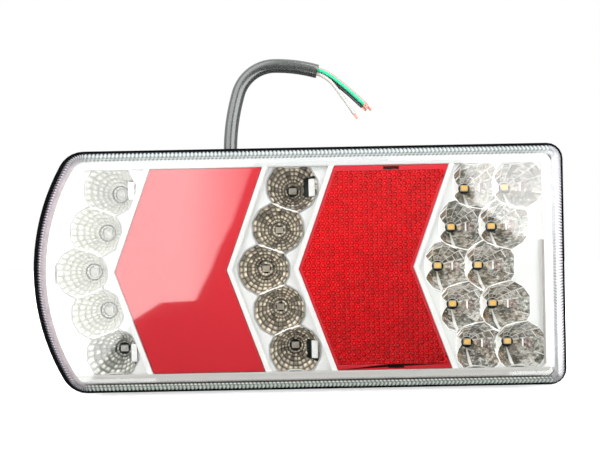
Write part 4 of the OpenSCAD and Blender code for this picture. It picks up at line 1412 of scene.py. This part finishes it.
def copper_strands(place, seed):
    """Six strands twisted round a straight one, standing out of a core's end."""
    end, tangent, side, rise = place
    shell = bmesh.new()
    rng = random.Random(seed)
    steps = 14
    for strand in range(7):
        start = 2 * math.pi * strand / 6
        spread = 0.0 if strand == 6 else 0.41
        length = 2.7 - rng.uniform(0, 0.4)
        line = []
        for step in range(steps + 1):
            share = step / steps
            turn = start + share * 1.7
            reach = spread * (1 + 0.04 * share)
            line.append(end + tangent * (share * length - 0.15)
                        + side * (reach * math.cos(turn)) + rise * (reach * math.sin(turn)))
        mesh = tube("strand", line, [0.2] * steps + [0.15], seg=8)
        shell.from_mesh(mesh)
        bpy.data.meshes.remove(mesh)
    return shell


for color, *bends in CORES:
    core, pvc = color + "_core", color + "_pvc"
    path = core_path(*bends)
    radii = [0.85] * (len(path) - 1) + [0.78]
    add_piece(core + "_insulation",
              tube(core + "_insulation", path, radii, seg=20, ripple=0.012),
              [pvc], body="lead_upper", slot=pvc, replaces=[core])
    add_piece(color + "_strands", copper_strands(path_frames(path)[-1], seed=len(core)),
              ["copper"], body="lead_upper", slot="copper",
              replaces=["copper_strands"] if color == "red" else ())

# ---------------------------------------------------------------- studs
STUD_X = 76.0
STUD_SEG = 36
THREAD_PITCH, THREAD_ROOT, THREAD_CREST = 1.0, 2.55, 3.0
STUD_ZS = [1.4, 0.2, -2.3, -2.5]
STUD_ZS += [-2.6 - 0.125 * k for k in range(int((18 - 2.6 - 0.5) / 0.125) + 1)]
STUD_ZS += [-17.6, -18.0]


def thread_r(z, k):
    """Plain at the front, threaded behind, tapered and then chamfered at the tip."""
    if z > -2.55:
        return THREAD_CREST
    if z < -17.9:
        return 2.3
    phase = (-z / THREAD_PITCH + k / STUD_SEG) % 1.0
    radius = THREAD_ROOT + (THREAD_CREST - THREAD_ROOT) * (1 - abs(2 * phase - 1))
    return min(radius, THREAD_CREST - max(0, -z - 17.2) * 0.7)


for name, x, replaced in (("left_stud", -STUD_X, ["mounting_studs"]), ("right_stud", STUD_X, ())):
    verts = [(*polar((x, 0), thread_r(z, k), 360 * k / STUD_SEG), z)
             for z in STUD_ZS for k in range(STUD_SEG)]
    add_piece(name, closed_mesh(name, verts, ring_faces(len(STUD_ZS), STUD_SEG)),
              ["zinc_plated_steel"], slot="zinc_plated_steel", replaces=replaced, smooth=40)

# ---------------------------------------------------------------- LEDs
LED_HALF_X, LED_HALF_Y, LED_HEIGHT = 1.75, 1.4, 1.7
LED_WINDOW = [  # radius, z above the package
    (1.18, 0.005), (1.12, 0.06), (0.8, 0.14), (0.35, 0.18),
]


def led_box(shell, mid, xs, half_y, bottom, top, chamfer, material):
    """A box above EMITTER_Z with a chamfered top; xs are its ends from the LED's middle."""
    layers = []
    for z, inset in ((bottom, 0), (top - chamfer, 0), (top, chamfer)):
        corners = rectangle(xs[0] + inset, xs[1] - inset, -half_y + inset, half_y - inset)
        layers.append([shell.verts.new(at(mid[0] + x, mid[1] + y, EMITTER_Z + z))
                       for x, y in corners])
    bridge(shell, layers[0], layers[1], material)
    bridge(shell, layers[1], layers[2], material)
    shell.faces.new(layers[0][::-1]).material_index = material
    shell.faces.new(layers[2]).material_index = material


def led(shell, mid, square):
    """A package with two tinned ends and a shallow window, round or squarish."""
    body, gel, tin = 0, 1, 2
    seg = 18
    led_box(shell, mid, (-LED_HALF_X + 0.15, LED_HALF_X - 0.15), LED_HALF_Y, bottom=0,
            top=LED_HEIGHT, chamfer=0.12, material=body)
    for xs in ((-LED_HALF_X, -LED_HALF_X + 0.5), (LED_HALF_X - 0.5, LED_HALF_X)):
        led_box(shell, mid, xs, LED_HALF_Y - 0.25, bottom=-0.02, top=0.8, chamfer=0.05,
                material=tin)
    below = None
    for radius, rise in LED_WINDOW:
        ring = []
        for k in range(seg):
            x, y = math.cos(2 * math.pi * k / seg), math.sin(2 * math.pi * k / seg)
            if square:
                reach = max(abs(x), abs(y)) ** 0.8
                x, y = x / reach * 1.26, y / reach * 1.02
            ring.append(shell.verts.new(at(mid[0] + radius * x, mid[1] + radius * y,
                                           EMITTER_Z + LED_HEIGHT + rise)))
        if below:
            bridge(shell, below, ring, gel)
        else:
            shell.faces.new(ring[::-1]).material_index = gel
        below = ring
    shell.faces.new(below).material_index = gel


indicator_places = [row_place(INDICATOR_X, row) for row in ROWS]
stop_places = [row_place(STOP_X, row) for row in ROWS]
bowl_places = list(BOWLS.values())
for section, places, body, gel in (
        ("indicator", indicator_places, "led_body_painted_reflection", "led_gel_painted_reflection"),
        ("stop", stop_places, "led_body", "led_gel"),
        ("reverse", bowl_places, "led_body", "led_phosphor")):
    leds = bmesh.new()
    for place in places:
        led(leds, place, square=section == "reverse")
    recalc(leds)
    add_piece(section + "_emitters", leds, [body, gel, "capacitor_aluminium"],
              slot="led_body", replaces=[section + "_leds"], smooth=30)


def throat_collars(name, throats, material, slot):
    """Unplated throats round the emitters, given as (place, radius)."""
    seg = 24
    shell = bmesh.new()
    for place, radius in throats:
        profile = [(radius + 0.05, 13.05), (radius, 12.35), (0.9, 12.3), (0.9, 12.12),
                   (radius + 0.5, 12.12), (radius + 0.5, 12.85)]
        rings = [[shell.verts.new(at(*polar(place, reach, 360 * k / seg), z))
                  for k in range(seg)] for reach, z in profile]
        for ring, following in zip(rings, rings[1:] + rings[:1]):
            bridge(shell, ring, following)
    recalc(shell)
    add_piece(name, shell, [material], slot=slot, smooth=40)


# the indicator's, all but the lowest, are painted pale: a painted reflection over their black
throats = [(place, CUP_THROAT_R) for place in indicator_places + stop_places]
throats += [(place, 2.75) for place in bowl_places]
throat_collars("throat_collars", throats[:1] + throats[5:], "black_aperture", "black_abs")
throat_collars("painted_reflection_collars", throats[1:5], "pocket_white", "bezel_white")

# ---------------------------------------------------------------- CAD pieces that stay
KEPT = {  # material, bevel in mm
    "rear_housing": ("black_abs", 0.25), "lens_seal": ("black_rubber", 0),
    "tail_light_box": ("white_plastic", 0.2), "reflex_cover": ("black_abs", 0.2),
    "retaining_clips": ("white_plastic", 0.15), "circuit_board": ("green_board", 0.08),
    "tail_leds": ("led_body", 0.08), "series_resistors": ("component_black", 0.05),
    "protection_diodes": ("component_black", 0.08), "driver_chips": ("component_black", 0.06),
    "capacitors": ("capacitor_aluminium", 0.12), "board_screws": ("zinc_plated_steel", 0.05),
    "wire_terminal": ("white_plastic", 0.12), "inner_wires": ("black_pvc", 0),
    "cable_clamp": ("black_abs", 0.2), "clamp_screws": ("zinc_plated_steel", 0.05),
    "cable_grommet": ("black_rubber", 0.15), "stud_seals": ("black_rubber", 0.12),
    "vent_membrane": ("white_membrane", 0.04), "left_washer": ("zinc_plated_steel", 0.1),
    "left_spring_washer": ("zinc_plated_steel", 0.08), "left_nut": ("zinc_plated_steel", 0.12),
    "right_washer": ("zinc_plated_steel", 0.1),
    "right_spring_washer": ("zinc_plated_steel", 0.08),
    "right_nut": ("zinc_plated_steel", 0.12),
}
REPLACED = {
    "indicator_reflector": "silvered_plastic", "stop_reflector": "warm_silvered_plastic",
    "reverse_reflector": "faceted_silver", "bezel": "bezel_white",
    "outer_lens": "clear_acrylic", "tail_panel": "red_acrylic",
    "reflex_reflector": "red_acrylic", "indicator_leds": "led_body", "stop_leds": "led_body",
    "reverse_leds": "led_phosphor", "sheath_inlet": "grey_pvc", "sheath_lower": "grey_pvc",
    "sheath_upper": "grey_pvc", "red_core": "red_pvc", "green_core": "green_pvc",
    "black_core": "black_pvc", "white_core": "white_pvc", "copper_strands": "copper",
    "mounting_studs": "zinc_plated_steel",
}


def set_material(piece, material):
    piece.data.materials.clear()
    piece.data.materials.append(MATERIALS[material])


for name, (material, bevel) in KEPT.items():
    piece = NODES[name]
    set_material(piece, material)
    piece.data.polygons.foreach_set("material_index", [0] * len(piece.data.polygons))
    if bevel:
        modifier = piece.modifiers.new("weld", "WELD")
        modifier.merge_threshold = 2e-6
        modifier = piece.modifiers.new("edges", "BEVEL")
        modifier.width = bevel * MM
        modifier.segments = 2
        modifier.limit_method = "ANGLE"
        modifier.angle_limit = math.radians(50)
        modifier.use_clamp_overlap = True
        modifier = piece.modifiers.new("normals", "WEIGHTED_NORMAL")
        modifier.keep_sharp = True
for name, material in REPLACED.items():
    set_material(NODES[name], material)

# ---------------------------------------------------------------- floor
bpy.ops.mesh.primitive_plane_add(size=6, location=(0, 0, CAD_BOX[0].z - 0.0002))
floor = bpy.context.object
floor.name = "floor"
graph = new_material("studio_floor")
mottle = graph.noise(graph.coords(), scale=6.0, detail=2.0)
color = graph.mix(graph.spread(mottle), (0.88, 0.88, 0.88), (0.92, 0.92, 0.92))
seen = graph.node("LightPath").outputs["Is Camera Ray"]
shader = graph.node("BsdfPrincipled", Base_Color=color, Roughness=0.9, Specular_IOR_Level=0.1,
                    Emission_Color=(1, 1, 1, 1),
                    Emission_Strength=graph.math("MULTIPLY", seen, 0.5))
graph.finish(shader.outputs[0])
floor.data.materials.append(MATERIALS["studio_floor"])
floor.visible_glossy = False

# ---------------------------------------------------------------- room
# White to the camera and even to diffuse surfaces. Mirrors see a room that is brighter above,
# and in front of the lamp a bright window either side of a dark shape. The shape's edges are
# (up, right), both as tangents of the angle from straight ahead of the lamp.
DARK_LEFT = [
    (-0.30, -0.42), (-0.178, -0.3385), (-0.105, -0.2833), (-0.0735, -0.2322),
    (-0.0731, -0.1768), (-0.020, -0.1488), (0.0117, -0.1364), (0.0583, -0.112),
    (0.1468, -0.0784), (0.30, -0.030),
]
DARK_RIGHT = [(-0.30, 0.60), (-0.009, 0.60), (0.025, 0.370), (0.084, 0.298), (0.149, 0.279),
              (0.30, 0.25)]
# height of the view direction as 0..1, brightness
ROOM_LEVELS = [(0.0, 0.18), (0.38, 0.22), (0.5, 0.42), (0.62, 0.95), (0.8, 1.25), (1.0, 1.4)]
CAMERA_LEVEL, DIFFUSE_LEVEL, WINDOW_LEVEL = 1.0, 1.2, 4.2

world = bpy.data.worlds.new("room")
bpy.context.scene.world = world
world.use_nodes = True
graph = Graph(world.node_tree)
x, y, z = graph.split(graph.node("TexCoord").outputs["Generated"])
ahead = graph.math("MAXIMUM", graph.math("MULTIPLY", y, -1.0), 0.02)
right = graph.math("DIVIDE", x, ahead)
up = graph.math("DIVIDE", z, ahead)
facing = graph.math("LESS_THAN", y, -0.3)


def edge_curve(points):
    """An edge's place to the right at the height looked at, read through a colour ramp."""
    stops = [((high + 0.3) / 0.6, (across + 0.8) / 1.6) for high, across in points]
    level = graph.ramp(graph.remap(up, (-0.3, 0.3)), stops)
    return graph.math("SUBTRACT", graph.math("MULTIPLY", level, 1.6), 0.8)


left_pane = graph.remap(graph.math("SUBTRACT", edge_curve(DARK_LEFT), right), (-0.004, 0.004))
right_pane = graph.remap(graph.math("SUBTRACT", right, edge_curve(DARK_RIGHT)),
                         (-0.006, 0.006))
left_pane = graph.math("MULTIPLY", left_pane,
                       graph.remap(right, (-0.19, -0.085), to=(1.0, 0.38)))
right_pane = graph.math("MULTIPLY", right_pane, 1.5)
bright = graph.math("MULTIPLY", graph.math("MAXIMUM", left_pane, right_pane), facing)
room = graph.ramp(graph.remap(z, (-1, 1)), ROOM_LEVELS)
shade = graph.math("SUBTRACT", 1.0, graph.math("MULTIPLY", facing, 0.72))
dark = graph.math("MULTIPLY", room, shade)
mirrored = graph.math("ADD", graph.math("MULTIPLY", bright, WINDOW_LEVEL), dark)
path = graph.node("LightPath").outputs


def choose(ray, chosen, otherwise):
    """One value for a kind of ray, another for the rest."""
    return graph.math("ADD", graph.math("MULTIPLY", ray, chosen),
                      graph.math("MULTIPLY", graph.math("SUBTRACT", 1.0, ray), otherwise))


strength = choose(path["Is Glossy Ray"], mirrored, DIFFUSE_LEVEL)
strength = choose(path["Is Camera Ray"], CAMERA_LEVEL, strength)
background = graph.node("Background", Strength=strength, Color=(1, 1, 1, 1))
graph.node("OutputWorld", Surface=background.outputs[0])


# ---------------------------------------------------------------- lights
def area_light(name, location, size, power):
    """A square light aimed at the lamp's middle, unseen itself."""
    light = bpy.data.lights.new(name, "AREA")
    light.shape = "RECTANGLE"
    light.size = size
    light.size_y = size
    light.energy = power
    holder = bpy.data.objects.new(name, light)
    bpy.context.scene.collection.objects.link(holder)
    holder.location = location
    holder.rotation_euler = (-Vector(location)).to_track_quat("-Z", "Y").to_euler()
    holder.visible_camera = False
    holder.visible_glossy = False


area_light("key", (-0.55, -0.75, 0.75), size=0.7, power=17.0)
area_light("fill", (0.7, -0.6, 0.35), size=0.7, power=8.0)
area_light("back_fill", (0.2, 0.9, 0.6), size=0.8, power=5.0)

# ---------------------------------------------------------------- camera and output
scene = bpy.context.scene
view = bpy.data.cameras.new("photo_view")
view.sensor_width = 36.0
view.lens = 35.7
view.clip_start = 0.01
view.clip_end = 20
view.shift_x = 0.0008
view.shift_y = 0.0507
camera = bpy.data.objects.new("photo_view", view)
scene.collection.objects.link(camera)
camera.location = (0.0003, -0.281, 0.00565)
camera.rotation_mode = "QUATERNION"
level_view = Euler((math.radians(90), 0, 0)).to_quaternion()
roll = Euler((0, 0, math.radians(-1.1))).to_quaternion()
camera.rotation_quaternion = level_view @ roll
scene.camera = camera
scene.view_settings.view_transform = "Standard"
scene.view_settings.look = "None"
scene.view_settings.exposure = 0.0
scene.view_settings.gamma = 1.0
